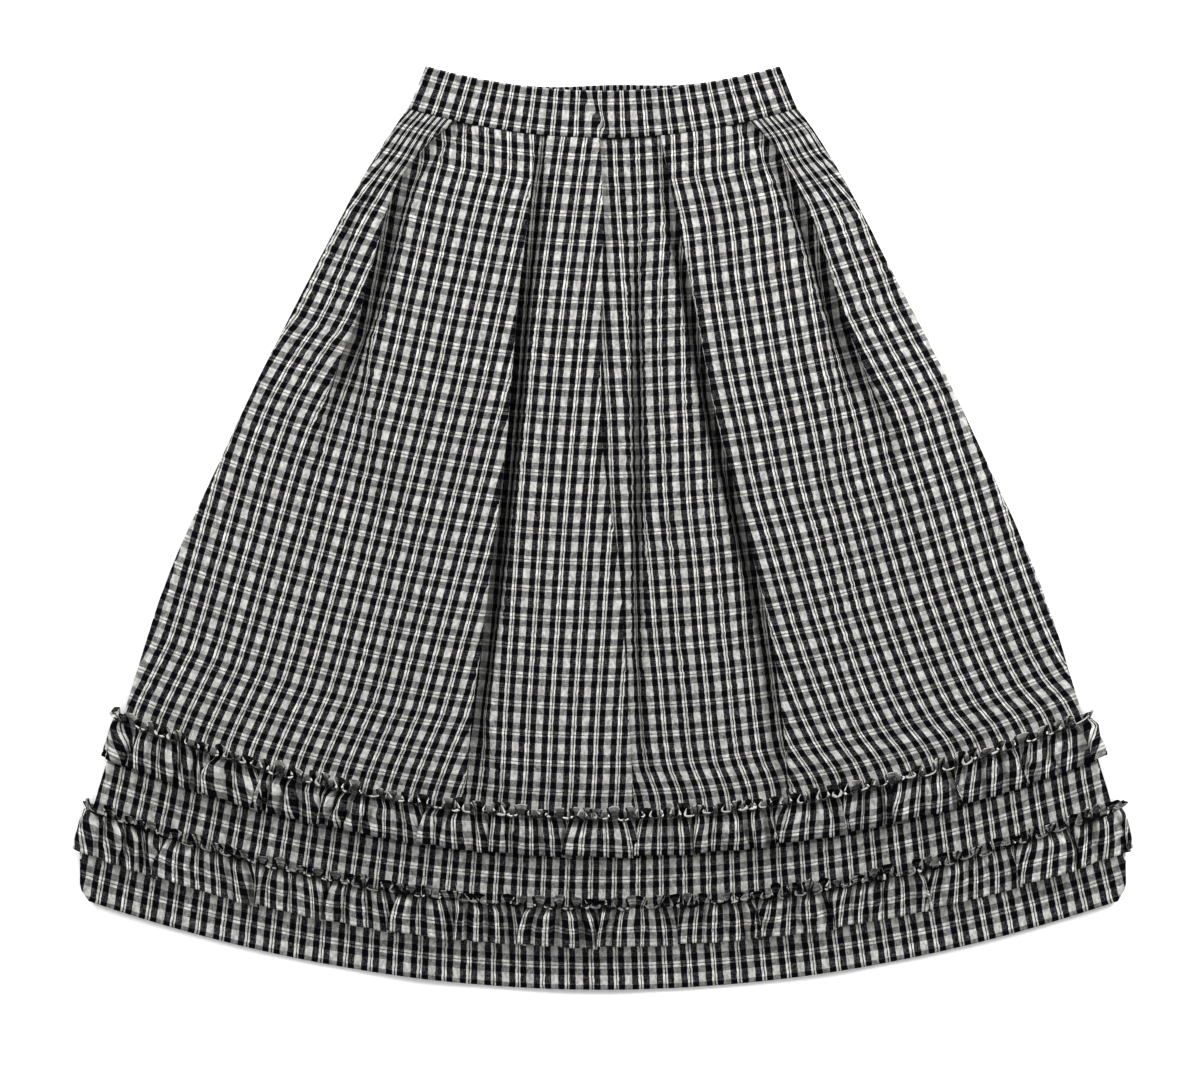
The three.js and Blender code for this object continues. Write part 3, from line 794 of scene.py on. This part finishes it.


# The yarns' stray in millimetres, across and along the cloth, beside the look's
# own; how strongly their streaks and the weave show; and how strongly the
# crinkle and its puckers paint shade into the cloth's colour, darker in their
# hollows and lighter on their tops, from a middle value and within a range.
FINE_STRAY_WARP = 0.6
FINE_STRAY_WEFT = 0.8
STREAKS_WARP = 0.55
STREAKS_WEFT = 0.6
WEAVE_SHARE = 0.12
PAINTED_CRINKLE_SHADE = 0.8
PAINTED_PUCKER_SHADE = 0.7
PAINTED_SHADE_MIDDLE = 0.98
PAINTED_SHADE_RANGE = (0.55, 1.2)
PUCKER_DEPTH = 0.4  # of the crinkle's


def weft_share(tree, uv, warp, weft, weave):
    """How much of the weft shows: by the kinds of the two yarns that cross,
    plus streaks along each and the weave's own points, from 0 to 1."""
    share = None
    for warp_kind, row in WEFT_SHARE.items():
        for weft_kind, amount in row.items():
            part = warp[warp_kind] * weft[weft_kind] * amount
            share = part if share is None else share + part
    share = share + noise(tree, uv, 0.8, 6, 2.0) * STREAKS_WARP
    share = share + noise(tree, uv, 4.5, 0.9, 2.0) * STREAKS_WEFT
    return (share + weave * WEAVE_SHARE).op("MAXIMUM", 0.0).op("MINIMUM", 1.0)


def yarn_colour(tree, yarn, look):
    """Colour of the warp or the weft alone, from its masks."""
    colour = mixed(tree, yarn["light"], look.dark[:3], look.light[:3])
    return mixed(tree, yarn["white"], colour, look.white[:3])


def with_painted_shade(tree, colour, amount):
    """A colour times an amount: the colour with the crinkle's painted shade."""
    shade = tree.nodes.new("ShaderNodeVectorMath")
    shade.operation = "SCALE"
    tree.links.new(colour, shade.inputs[0])
    tree.links.new(amount.socket, shade.inputs["Scale"])
    return shade.outputs[0]


def raised(tree, height):
    """The surface's direction under a bump of that height, in metres."""
    bump = tree.nodes.new("ShaderNodeBump")
    bump.inputs["Strength"].default_value = 1.0
    bump.inputs["Distance"].default_value = 1.0
    tree.links.new(height.socket, bump.inputs["Height"])
    return bump.outputs[0]


def check_cloth(look):
    """The checked crinkle cloth: the warp's and the weft's stripes on the
    cloth's own width and length, mixed yarn by yarn, with crinkle and weave as
    a bump, and with shade painted into the colour by the same crinkle, darker
    in its hollows and lighter on its tops. Where the cloth stands steeply, its
    attribute says so and the warp's lines ripple."""
    material = bpy.data.materials.new("crinkle_check")
    material.use_nodes = True
    tree = material.node_tree
    place = tree.nodes.new("ShaderNodeUVMap")
    place.uv_map = "cloth"
    uv = place.outputs[0]
    split = tree.nodes.new("ShaderNodeSeparateXYZ")
    tree.links.new(uv, split.inputs[0])
    u, v = Wire(tree, split.outputs[0]), Wire(tree, split.outputs[1])
    steep = tree.nodes.new("ShaderNodeAttribute")
    steep.attribute_name = "steep"

    stray = noise(tree, uv, 11, 7.5) * (look.stray * 2)
    fine_stray = noise(tree, uv, 3, 3)
    ripple = noise(tree, uv, 45, 6.8) * Wire(tree, steep.outputs["Fac"]) * look.ripple
    across = u + stray + fine_stray * (FINE_STRAY_WARP * MM) + ripple
    across = across / (repeat_of(WARP_CHART) * MM * WARP_DRAW)
    along = (v + fine_stray * (FINE_STRAY_WEFT * MM)) / (repeat_of(WEFT_CHART) * MM)
    warp = stripes(tree, across.op("FRACT"), WARP_CHART)
    weft = stripes(tree, along.op("FRACT"), WEFT_CHART)

    ends = (u * (2 * math.pi / look.end_pitch)).op("SINE")
    picks = (v * (2 * math.pi / look.pick_pitch)).op("SINE")
    weave = ends * picks
    share = weft_share(tree, uv, warp, weft, weave)
    colour = mixed(tree, share, yarn_colour(tree, warp, look), yarn_colour(tree, weft, look))

    crinkle = noise(tree, uv, 5.5, 8, 2.0)
    pucker = noise(tree, uv, 2.5, 3.5, 2.0)
    # Painted shade: the colour is darkened in the crinkle's and the puckers' hollows and lightened on
    # their tops.
    painted_crinkle_shade = crinkle * PAINTED_CRINKLE_SHADE + pucker * PAINTED_PUCKER_SHADE + PAINTED_SHADE_MIDDLE
    painted_crinkle_shade = painted_crinkle_shade.op("MAXIMUM", PAINTED_SHADE_RANGE[0]).op("MINIMUM", PAINTED_SHADE_RANGE[1])
    height = crinkle * look.crinkle + pucker * (look.crinkle * PUCKER_DEPTH)
    height = height + weave * look.weave

    shader = tree.nodes["Principled BSDF"]
    # The base colour carries the crinkle's painted shade.
    tree.links.new(with_painted_shade(tree, colour, painted_crinkle_shade), shader.inputs["Base Color"])
    tree.links.new(raised(tree, height), shader.inputs["Normal"])
    shader.inputs["Roughness"].default_value = 0.9
    shader.inputs["Specular IOR Level"].default_value = 0.06
    return material


def cloth_material():
    """The skirt's cloth, made once and shared by its pieces."""
    found = bpy.data.materials.get("crinkle_check")
    return found or check_cloth(bpy.context.scene.skirt_look)


# -------------------------------------------------------------------- pieces


def rounded_hem(v, wall):
    """The wall's share left at rows v: full, and rounded off at the hem as a
    circle's arc, down to a tenth."""
    t = np.clip((v[-1] - v) / (wall / 2), 0, 1)
    return np.minimum(np.sqrt(1 - (1 - t) ** 2) * 0.9 + 0.1, 1)


def panel_rows(count):
    """Distances down a panel: even, with a few more at its rounded hem."""
    edge = np.array([0.7, 0.35, 0.12, 0]) * BACK_WALL / 2
    return np.concatenate([np.linspace(0, LENGTH, count)[:-1], LENGTH - edge])


def crinkle_on(points, u, v, depth, seed):
    """Moves the points out and in by the cloth's crinkle: small lumps, some
    longer down the cloth and some wider, on large soft ones of their own."""
    lump = depth * (0.6 * lumps(u, v, 11, 14, seed) + 0.6 * lumps(u, v, 24, 11, seed + 1))
    lump = lump + 0.5 * lumps(u, v, 34, 80, seed + 2)
    return points + outward(points) * lump[..., None]


def front_top(x, v):
    """Level of the front panel's outside at the places x of the rows v, as a
    cloth finds it that lies over it: it bridges narrow hollows, half way to the
    highest point within reach, and never sinks below the panel."""
    section_x, section_z = (np.hstack(part) for part in zip(*front_sections(v)))
    reach = (half_width(v) - roll_width(v) - wall_at(v))[:, None]
    at = np.clip(x, -reach, reach)
    level = np.empty_like(at)
    ways = np.linspace(-RUFFLE_REACH, RUFFLE_REACH, 5)
    for row, (row_x, row_z) in enumerate(zip(section_x, section_z)):
        ahead = np.maximum.accumulate(row_x)
        near = [np.interp(at[row] + way, ahead, row_z) for way in ways]
        level[row] = 0.5 * np.max(near, 0) + 0.5 * np.mean(near, 0)
        level[row] = np.maximum(level[row], near[2])
    return level + (wall_at(v) / 2)[:, None]


def ruffle_rows(rows):
    """Places across a ruffle's cloth, closer together in its heading and at
    the hem's stitches, and its section there, from the table."""
    heading = np.linspace(0, RUFFLE_STITCH, rows // 2)
    body = np.linspace(RUFFLE_STITCH, RUFFLE_CLOTH, rows - rows // 2)
    stitches = RUFFLE_HEM + np.array([-RUFFLE_THREAD, 0, RUFFLE_THREAD])
    cloth = np.unique(np.concatenate([heading, body, stitches]))
    section = {
        key: column(RUFFLE_SECTION, key, cloth, "cloth")[:, None]
        for key in ("down", "off", "wave", "gather", "lean", "fan")
    }
    return cloth[:, None], section


def ruffle_line(q, v, level, back):
    """Where a ruffle's rows v run before they are gathered: level, then down
    (the back one: up) to the side seam over a quarter of an ellipse at each
    end. q is the place along the strip, from -1 to 1. Gives x, z, the angle
    that the cloth has turned by, the half length of the level part and the
    place along the cloth."""
    flat = (half_width(v) + RUFFLE_PAST_SIDE - RUFFLE_WALL)[:, None] - RUFFLE_END
    seam = SIDE_SEAM_HEIGHT + back_lift(v)[:, None] * (0 if back else 1)
    end = RUFFLE_END * RUFFLE_END_CLOTH
    way = q * (flat + end)
    turn = np.clip((np.abs(way) - flat) / end, 0, 1) * math.pi / 2
    drop = level(np.clip(way, -flat, flat), v) - seam
    x = np.sign(q) * np.where(turn > 0, flat + RUFFLE_END * np.sin(turn), np.abs(way))
    return x, seam + drop * np.cos(turn), turn, flat, way


def repeat_number(kind, q, seed):
    """Number of the repeat at q: even along the strip, and strayed."""
    count, stray, length, draw = RUFFLE_REPEATS[kind]
    place = q * RUFFLE_ALONG
    return count * (q + 1) / 2 + stray * lumps(place, 0 * place, length, 1, seed + draw)


def varied(kind, q, seed):
    """A value at q that varies softly along the strip, around its middle."""
    middle, amount, length, draw = RUFFLE_VARIES[kind]
    place = q * RUFFLE_ALONG
    return middle + amount * lumps(place, 0 * place, length, 1, seed + draw)


def ruffle_heights(q, cloth, section, seed):
    """Heights of a ruffle's waves and of its gathers, its loops' number and the
    sway of its waves. The waves are wave sqrt((|sin pi p| - c) / (1 - c)), and
    the gathers gather sin 2 pi g, with p and g the wave's and the gather's
    number and c the valleys' width. The heading's loops are
    wave ((cos 2 pi l) / 2 - low), with l the loop's number."""
    place = q * RUFFLE_ALONG
    wave_number = repeat_number("wave", q, seed)
    loop_number = repeat_number("loop", q, seed)
    gather_number = repeat_number("gather", q, seed)
    gather_number = gather_number + RUFFLE_GATHER_TWIST * lumps(place, cloth, 12, 9, seed + 2)
    tall = np.clip(varied("tall", q, seed), *RUFFLE_TALL_RANGE)
    loops_tall = varied("loops_tall", q, seed)
    sway = varied("sway", q, seed)
    twist = RUFFLE_TWIST * lumps(place, cloth, 40, 16, seed + 5)
    rise = np.abs(np.sin(math.pi * (wave_number + twist))) - RUFFLE_VALLEY
    rise = np.sqrt(np.clip(rise / (1 - RUFFLE_VALLEY), 0, 1))
    loop = 0.5 * np.cos(2 * math.pi * loop_number) - RUFFLE_LOOP_LOW
    wave = section["wave"] * np.where(cloth < RUFFLE_STITCH, loops_tall * loop, tall * rise)
    gather = section["gather"] * np.sin(2 * math.pi * gather_number) * (0.6 + 0.4 * tall)
    return wave, gather, loop_number, sway


def ruffle_bells(q, seed):
    """How far the bells' cloth has run to the side and how high it lies: with f
    the place in a bell, 0 to 1, the cloth runs back to the left and climbs up
    to f = turn, then runs right and sinks again, so that each bell's left edge
    lies over the one before."""
    number = repeat_number("bell", q, seed)
    f = number - np.floor(number)
    size = BELL_SIZE[0] + BELL_SIZE[1] * np.sin(BELL_SIZE_TURN * np.floor(number) + seed)
    back_run = smooth(f / BELL_TURN)
    ahead = np.clip((f - BELL_TURN) / (1 - BELL_TURN), 0, 1)
    run = size * np.where(f < BELL_TURN, 1 - 2 * back_run, 2 * ahead - 1)
    rise = size * np.where(f < BELL_TURN, back_run, 1 - smooth(ahead))
    return run, rise


def ruffle_surface(name, columns, rows, level, back=False):
    """The middle of a gathered strip's cloth: points, cloth width and length.
    Across, it follows its section's table. Along, it follows the ruffle's line,
    and waves, gathers, bells and the hem's dent move it along its own normal.
    The bells also move it sideways and down, and the heading's loops curl by
    sin 4 pi l sideways, with l the loop's number."""
    seed = RUFFLES[name]
    cloth, section = ruffle_rows(rows)
    v = seed + section["down"][:, 0]
    q = np.linspace(-1, 1, columns)[None, :]
    x, z, turn, flat, way = ruffle_line(q, v, level, back)
    upright = np.cos(turn)
    wave, gather, loop_number, sway = ruffle_heights(q, cloth, section, seed)
    bell_run, bell_rise = ruffle_bells(q, seed)

    if back:
        calm = smooth((np.abs(way) - flat + RUFFLE_PRESSED_EDGE) / RUFFLE_PRESSED_EDGE) * upright
        height = RUFFLE_PRESSED * (wave + gather) * calm
        steep = 0 * section["off"]
        out_z = -upright
    else:
        height = (wave + 0.5 * gather) * (RUFFLE_END_CALM + (1 - RUFFLE_END_CALM) * upright)
        height = height + BELL_HEIGHT * section["fan"] * bell_rise * upright
        steep = np.gradient(section["off"][:, 0], section["down"][:, 0])[:, None]
        out_z = upright
    height = height + section["gather"] * 0.5
    height = height - RUFFLE_HEM_DENT * np.exp(-(((cloth - RUFFLE_HEM) / RUFFLE_THREAD) ** 2))
    off = section["off"] * (RUFFLE_END_OFF + (1 - RUFFLE_END_OFF) * upright)
    norm = np.sqrt(1 + steep**2)

    frill = smooth(1 - cloth / RUFFLE_STITCH)
    x = x + frill * RUFFLE_CURL * np.sin(4 * math.pi * loop_number) * upright
    x = x + np.sign(q) * np.sin(turn) * (height + off) + section["lean"] * sway * wave
    x = x + BELL_FAN * section["fan"] * bell_run * upright
    z = z + out_z * (off + height / norm)
    y = row_y(x, v[:, None]) + height * steep / norm
    if not back:
        y = y - BELL_DROP * bell_run * section["fan"] * upright
    u = q * (flat + RUFFLE_END) * RUFFLE_FULLNESS
    w = np.repeat(cloth, columns, 1) - RUFFLE_LIGHT_FROM[name]
    return np.stack([x, y, z], -1), u, w


# ---------------------------------------------------------------- the add-on


class SkirtLook(bpy.types.PropertyGroup):
    """Sizes and colours that a user would change."""

    crinkle: FloatProperty(
        name="Crinkle", description="Depth of the cloth's crinkle",
        default=0.7 * MM, min=0, unit="LENGTH", precision=5,
    )
    weave: FloatProperty(
        name="Weave", description="Depth of the weave",
        default=0.04 * MM, min=0, unit="LENGTH", precision=5,
    )
    stray: FloatProperty(
        name="Stray", description="How far the warp's lines wander",
        default=0.4 * MM, min=0, unit="LENGTH", precision=5,
    )
    ripple: FloatProperty(
        name="Ripple", description="Waviness of the warp's lines on steep cloth",
        default=5 * MM, min=0, unit="LENGTH", precision=5,
    )
    end_pitch: FloatProperty(
        name="Warp pitch", description="From one warp yarn to the next but one",
        default=1.2 * MM, min=0.1 * MM, unit="LENGTH", precision=5,
    )
    pick_pitch: FloatProperty(
        name="Weft pitch", description="From one weft yarn to the next but one",
        default=1.3 * MM, min=0.1 * MM, unit="LENGTH", precision=5,
    )
    dark: FloatVectorProperty(
        name="Dark yarn", description="Colour of the dark yarn",
        subtype="COLOR", default=(0.009, 0.009, 0.014),
    )
    light: FloatVectorProperty(
        name="Light yarn", description="Colour of the light yarn",
        subtype="COLOR", default=(0.46, 0.457, 0.443),
    )
    white: FloatVectorProperty(
        name="White yarn", description="Colour of the white yarn",
        subtype="COLOR", default=(0.575, 0.57, 0.545),
    )


# The stage, in metres: a floor just below the skirt, a soft lamp to either side
# of it (name, watts and place), and a camera that looks straight down.
FLOOR_HALF = 4.0
FLOOR_LEVEL = -0.0004
ROOM_LIGHT = 0.88
LAMPS = [
    ("right_softbox", 56, (1.9, 1.2, 1.4)),
    ("left_softbox", 44, (-1.9, 1.2, 1.4)),
]
LAMP_WIDTH = 1.2
CAMERA_PLACE = (-0.0027, -0.005, 3.4)
CAMERA_SENSOR = 36
SHARP_LEVEL = 0.008
VIEW_WIDTH = 1.08
PICTURE_GAMMA = 0.66


class SKIRT_OT_stage(bpy.types.Operator):
    """Makes the pale floor, the soft light and the camera"""

    bl_idname = "skirt.stage"
    bl_label = "Stage"

    def execute(self, context):
        self.make_floor(context.scene)
        self.make_light(context.scene)
        self.make_camera(context.scene)
        return {"FINISHED"}

    def make_floor(self, scene):
        """A large square in a matt, pale material"""
        mesh = bpy.data.meshes.new("floor")
        corners = [(-1, -1), (1, -1), (1, 1), (-1, 1)]
        points = [(x * FLOOR_HALF, y * FLOOR_HALF, FLOOR_LEVEL) for x, y in corners]
        mesh.from_pydata(points, [], [(0, 1, 2, 3)])
        floor = bpy.data.objects.new("floor", mesh)
        scene.collection.objects.link(floor)
        pale = bpy.data.materials.new("pale_floor")
        pale.use_nodes = True
        shader = pale.node_tree.nodes["Principled BSDF"]
        shader.inputs["Base Color"].default_value = (0.97, 0.97, 0.97, 1)
        shader.inputs["Roughness"].default_value = 0.9
        shader.inputs["Specular IOR Level"].default_value = 0.1
        mesh.materials.append(pale)

    def make_light(self, scene):
        """A bright room and the lamps, which face the skirt's middle"""
        world = bpy.data.worlds.new("soft_room")
        scene.world = world
        world.use_nodes = True
        background = world.node_tree.nodes["Background"]
        background.inputs["Color"].default_value = (1, 1, 1, 1)
        background.inputs["Strength"].default_value = ROOM_LIGHT
        for name, watts, place in LAMPS:
            light = bpy.data.lights.new(name, "AREA")
            light.shape = "DISK"
            light.size = LAMP_WIDTH
            light.energy = watts
            lamp = bpy.data.objects.new(name, light)
            lamp.location = place
            lamp.rotation_euler = (-Vector(place)).to_track_quat("-Z", "Y").to_euler()
            scene.collection.objects.link(lamp)

    def make_camera(self, scene):
        """The camera, and the picture's brightness curve"""
        data = bpy.data.cameras.new("camera")
        camera = bpy.data.objects.new("camera", data)
        data.sensor_width = CAMERA_SENSOR
        data.lens = CAMERA_SENSOR * (CAMERA_PLACE[2] - SHARP_LEVEL) / VIEW_WIDTH
        data.clip_end = 50
        camera.location = CAMERA_PLACE
        scene.collection.objects.link(camera)
        scene.camera = camera
        scene.view_settings.view_transform = "Standard"
        scene.view_settings.gamma = PICTURE_GAMMA


class SKIRT_OT_front(bpy.types.Operator):
    """Makes the front panel with its knife pleats"""

    bl_idname = "skirt.front"
    bl_label = "Front panel"

    rows: IntProperty(name="Rows", description="Points down the panel", default=178)
    fold: IntProperty(name="Fold", description="Points across a pleat's fold", default=19)

    def execute(self, context):
        look = context.scene.skirt_look
        v = panel_rows(self.rows)
        counts = [SIDE_POINTS]
        for points in FACE_POINTS:
            counts += [points, self.fold]
        counts[-1] = SIDE_POINTS
        x, z, u = front_sheet(v, counts)
        u = self.warp_width(x, u, v)
        down = np.repeat(v[:, None], x.shape[1], 1)
        middle = np.stack([x, row_y(x, down), z], -1)
        middle = crinkle_on(middle, u, down, look.crinkle / MM * CRINKLE_SHARE, 11)
        half = (wall_at(v) / 2 * rounded_hem(v, BACK_WALL))[:, None, None]
        out = outward(middle)
        piece = wall_piece(
            "front_panel", middle + out * half, middle - out * half,
            np.stack([u, down], -1), 3, ["skirt_front"], cloth_material(), ends=4,
            steep=np.abs(out[..., 0]),
        )
        return {"FINISHED"}

    def warp_width(self, x, u, v):
        first, last = (column(PLEATS[k][2], "x", v)[:, None] for k in (0, -1))
        beyond = np.maximum(x - last, 0) - np.maximum(first - x, 0)
        u = u + WAIST_EASE * beyond * smooth(1 - v / EASE_END)[:, None]
        edge = column(PLEATS[CENTRE_PLEAT][2], "x", v) + column(LEAN, "lean", v)
        return (u + edge[:, None]) / column(SPREAD, "k", v)[:, None]


class SKIRT_OT_back(bpy.types.Operator):
    """Makes the back panel, flat on the surface with its sides rolled up"""

    bl_idname = "skirt.back"
    bl_label = "Back panel"

    columns: IntProperty(name="Columns", description="Points across the panel", default=150)
    rows: IntProperty(name="Rows", description="Points down the panel", default=130)

    def execute(self, context):
        v = panel_rows(self.rows)
        lift = back_lift(v)[:, None]
        half = (half_width(v) - BACK_WALL / 2)[:, None]
        width = roll_width(v)[:, None]
        level = BACK_WALL / 2 + lift
        seam = SIDE_SEAM_HEIGHT - GAP / 2 + lift
        x, z = rolled_section(half, width, level, seam, self.columns)
        down = np.repeat(v[:, None], x.shape[1], 1)
        middle = np.stack([x, row_y(x, down), z], -1)
        u = x + np.sign(x) * np.maximum(np.abs(x) - half + width, 0) * 0.5
        u = u / column(SPREAD, "k", v)[:, None]
        out = outward(middle)
        thick = (BACK_WALL / 2 * rounded_hem(v, BACK_WALL))[:, None, None]
        rolled = smooth((np.abs(x) - half + width) / BACK_CRINKLE_RAMP)[..., None]
        lump = (BACK_CRINKLE * lumps(u, down, 8, 13, 31))[..., None] * rolled
        piece = wall_piece(
            "back_panel", middle + out * (thick + lump), middle - out * (thick + lump * 0.5),
            np.stack([u, down], -1), 2, ["skirt_back"], cloth_material(), ends=4,
        )
        return {"FINISHED"}


class SKIRT_OT_waistbands(bpy.types.Operator):
    """Makes the plain front band and the back band with its elastic's gathers"""

    bl_idname = "skirt.waistbands"
    bl_label = "Waistbands"

    columns: IntProperty(name="Columns", description="Points across a band", default=300)
    rows: IntProperty(name="Rows", description="Points down a band", default=26)

    def execute(self, context):
        self.make_front()
        self.make_back()
        return {"FINISHED"}

    def band_rows(self, peek):
        """Rows from the top edge to the seam: their share t of the way, half
        of their width, the share of the wall that the folded top edge leaves,
        and y as a function of x: a shallow bowl from edge to seam. peek is how
        far the top edge stands up past the front band's, near the middle."""
        edge = np.array([0, 0.03, 0.09, 0.2, 0.38])
        t = np.concatenate([edge * BAND_WALL / BAND_HEIGHT, np.linspace(0.04, 1, self.rows)])
        half = BAND_HALF_TOP + (BAND_HALF_SEAM - BAND_HALF_TOP) * t - BAND_WALL / 2
        round_t = np.clip(t * BAND_HEIGHT / (BAND_WALL / 2), 0, 1)
        share = np.sqrt(1 - (1 - round_t) ** 2) * 0.94 + 0.06

        def y_at(x):
            upper = BAND_FRONT_TOP_Y + BAND_RISE_TOP * (x / BAND_HALF_TOP) ** 2
            upper = upper + peek * np.exp(-(((x - PEEK_X) / PEEK_HALF) ** 2))
            seam = row_y(x, np.zeros(1)) + GAP
            return upper + (seam - upper) * t[:, None]

        return t[:, None], half[:, None], share[:, None], y_at

    def make_front(self):
        """Level from side to side with its ends rolled down, and crossed by
        the wrinkle: a trough exp(-r r) with a ridge beside it."""
        t, half, share, y_at = self.band_rows(0)
        level = BAND_FRONT_TOP_Z + (BAND_FRONT_SEAM_Z - BAND_FRONT_TOP_Z) * t
        seam = BAND_WALL + 2 * GAP + 0 * level
        x, z = rolled_section(half, BAND_ROLL + 0 * half, level, seam, self.columns)
        centre = y_at(0 * x)
        down = centre[:1] - centre
        across = WRINKLE["x_top"] + (WRINKLE["x_seam"] - WRINKLE["x_top"]) * t
        reach = (x - across) / WRINKLE["half"]
        shown = np.sin(math.pi * np.clip(t, 0, 1)) ** 0.8
        trough = np.exp(-(reach**2)) * shown
        ridge = np.exp(-((reach - WRINKLE["ridge_at"]) ** 2)) * shown
        u = x / half * BAND_HALF_SEAM * BAND_WARP_DRAW + BAND_WARP_PHASE
        u = u - WRINKLE["drag"] * trough
        middle = np.stack([x, y_at(x), z], -1)
        middle = crinkle_on(middle, u, down, BAND_CRINKLE, 51)
        out = outward(middle)
        thick = (BAND_WALL / 2 * share)[..., None]
        fold = (WRINKLE["depth"] * (WRINKLE["ridge"] * ridge - trough))[..., None]
        piece = wall_piece(
            "front_waistband", middle + out * (thick + fold), middle - out * thick,
            np.stack([u, down + BAND_LIGHT_FROM["front"]], -1), 2,
            ["waistband_front"], cloth_material(), ends=5,
        )

    def make_back(self):
        """Flat on the surface, its upper side drawn into the elastic's gathers:
        a cosine of their number, which also frills the top edge."""
        t, half, share, y_at = self.band_rows(PEEK)
        s = np.linspace(-1, 1, self.columns * 2)
        x = half * s
        stray = BAND_GATHER_STRAY * lumps(s * BAND_ALONG, 0 * s, 11, 1, 61)
        gather = np.cos(2 * math.pi * (BAND_GATHERS * (s + 1) / 2 + stray))
        middle = np.stack([x, y_at(x), BAND_WALL / 2 + 0 * x], -1)
        under = BAND_WALL / 2 * share
        top = under - BAND_GATHER_DEPTH * (0.5 - 0.5 * gather) * share
        up = np.array([0, 0, 1])
        moved = middle + up * top[..., None]
        moved[..., 1] += BAND_FRILL * (gather - 1) * (1 - t) ** 4
        u = x * BAND_FULLNESS + BAND_GATHER_DRAG * gather
        centre = y_at(0 * x)
        down = centre[:1] - centre
        piece = wall_piece(
            "back_waistband", moved, middle - up * under[..., None],
            np.stack([u, down + BAND_LIGHT_FROM["back"]], -1), 3,
            ["waistband_back"], cloth_material(), ends=5,
        )


class SKIRT_OT_ruffles(bpy.types.Operator):
    """Makes the gathered ruffles: two stretches across the front, two below the back"""

    bl_idname = "skirt.ruffles"
    bl_label = "Ruffles"

    columns: IntProperty(name="Columns", description="Points along a ruffle", default=1250)
    rows: IntProperty(name="Rows", description="Points across a ruffle", default=34)
    back_columns: IntProperty(name="Back columns", description="Points along a back ruffle", default=420)
    back_rows: IntProperty(name="Back rows", description="Points across a back ruffle", default=14)

    def execute(self, context):
        for name in RUFFLES:
            self.make_front(name)
            self.make_back(name)
        return {"FINISHED"}

    def make(self, name, side, columns, rows, level):
        """One stretch of a ruffle, as a wall of cloth half to either side of
        its middle. The back one doesn't reach below the surface."""
        back = side == "back"
        points, u, w = ruffle_surface(name, columns, rows, level, back)
        out = outward(points)
        upper, lower = points + out * RUFFLE_WALL / 2, points - out * RUFFLE_WALL / 2
        if back:
            lower[..., 2] = np.maximum(lower[..., 2], 0)
            upper[..., 2] = np.maximum(upper[..., 2], RUFFLE_PRESSED_LEAST)
        uv = np.stack([np.broadcast_to(u, w.shape), w], -1)
        nodes = [f"ruffle_{name}_{side}"]
        return wall_piece(f"{name}_ruffle_{side}", upper, lower, uv, 3, nodes, cloth_material(), ends=2)

    def make_front(self, name):
        """Lies on the front panel, with its folds."""
        def level(x, v):
            return front_top(x, v) + RUFFLE_CLEAR + RUFFLE_WALL / 2

        piece = self.make(name, "front", self.columns, self.rows, level)

    def make_back(self, name):
        """Lies pressed on the surface, below the back panel."""
        def level(x, v):
            return 0 * x + RUFFLE_WALL / 2

        piece = self.make(name, "back", self.back_columns, self.back_rows, level)


class SKIRT_PT_panel(bpy.types.Panel):
    """Sidebar panel with the skirt's look and its operators"""

    bl_label = "Pleated Skirt"
    bl_idname = "SKIRT_PT_panel"
    bl_space_type = "VIEW_3D"
    bl_region_type = "UI"
    bl_category = "Skirt"

    def draw(self, context):
        look = context.scene.skirt_look
        for name in SkirtLook.__annotations__:
            self.layout.prop(look, name)
        for operator in OPERATORS:
            self.layout.operator(operator.bl_idname)


OPERATORS = [
    SKIRT_OT_stage,
    SKIRT_OT_front,
    SKIRT_OT_back,
    SKIRT_OT_waistbands,
    SKIRT_OT_ruffles,
]
CLASSES = [SkirtLook, *OPERATORS, SKIRT_PT_panel]


def register():
    for made in CLASSES:
        bpy.utils.register_class(made)
    bpy.types.Scene.skirt_look = PointerProperty(type=SkirtLook)


def unregister():
    del bpy.types.Scene.skirt_look
    for made in reversed(CLASSES):
        bpy.utils.unregister_class(made)


def main():
    """Makes the whole skirt."""
    register()
    bpy.ops.skirt.stage()
    bpy.ops.skirt.front()
    bpy.ops.skirt.back()
    bpy.ops.skirt.waistbands()
    bpy.ops.skirt.ruffles()


if __name__ == "__main__":
    main()
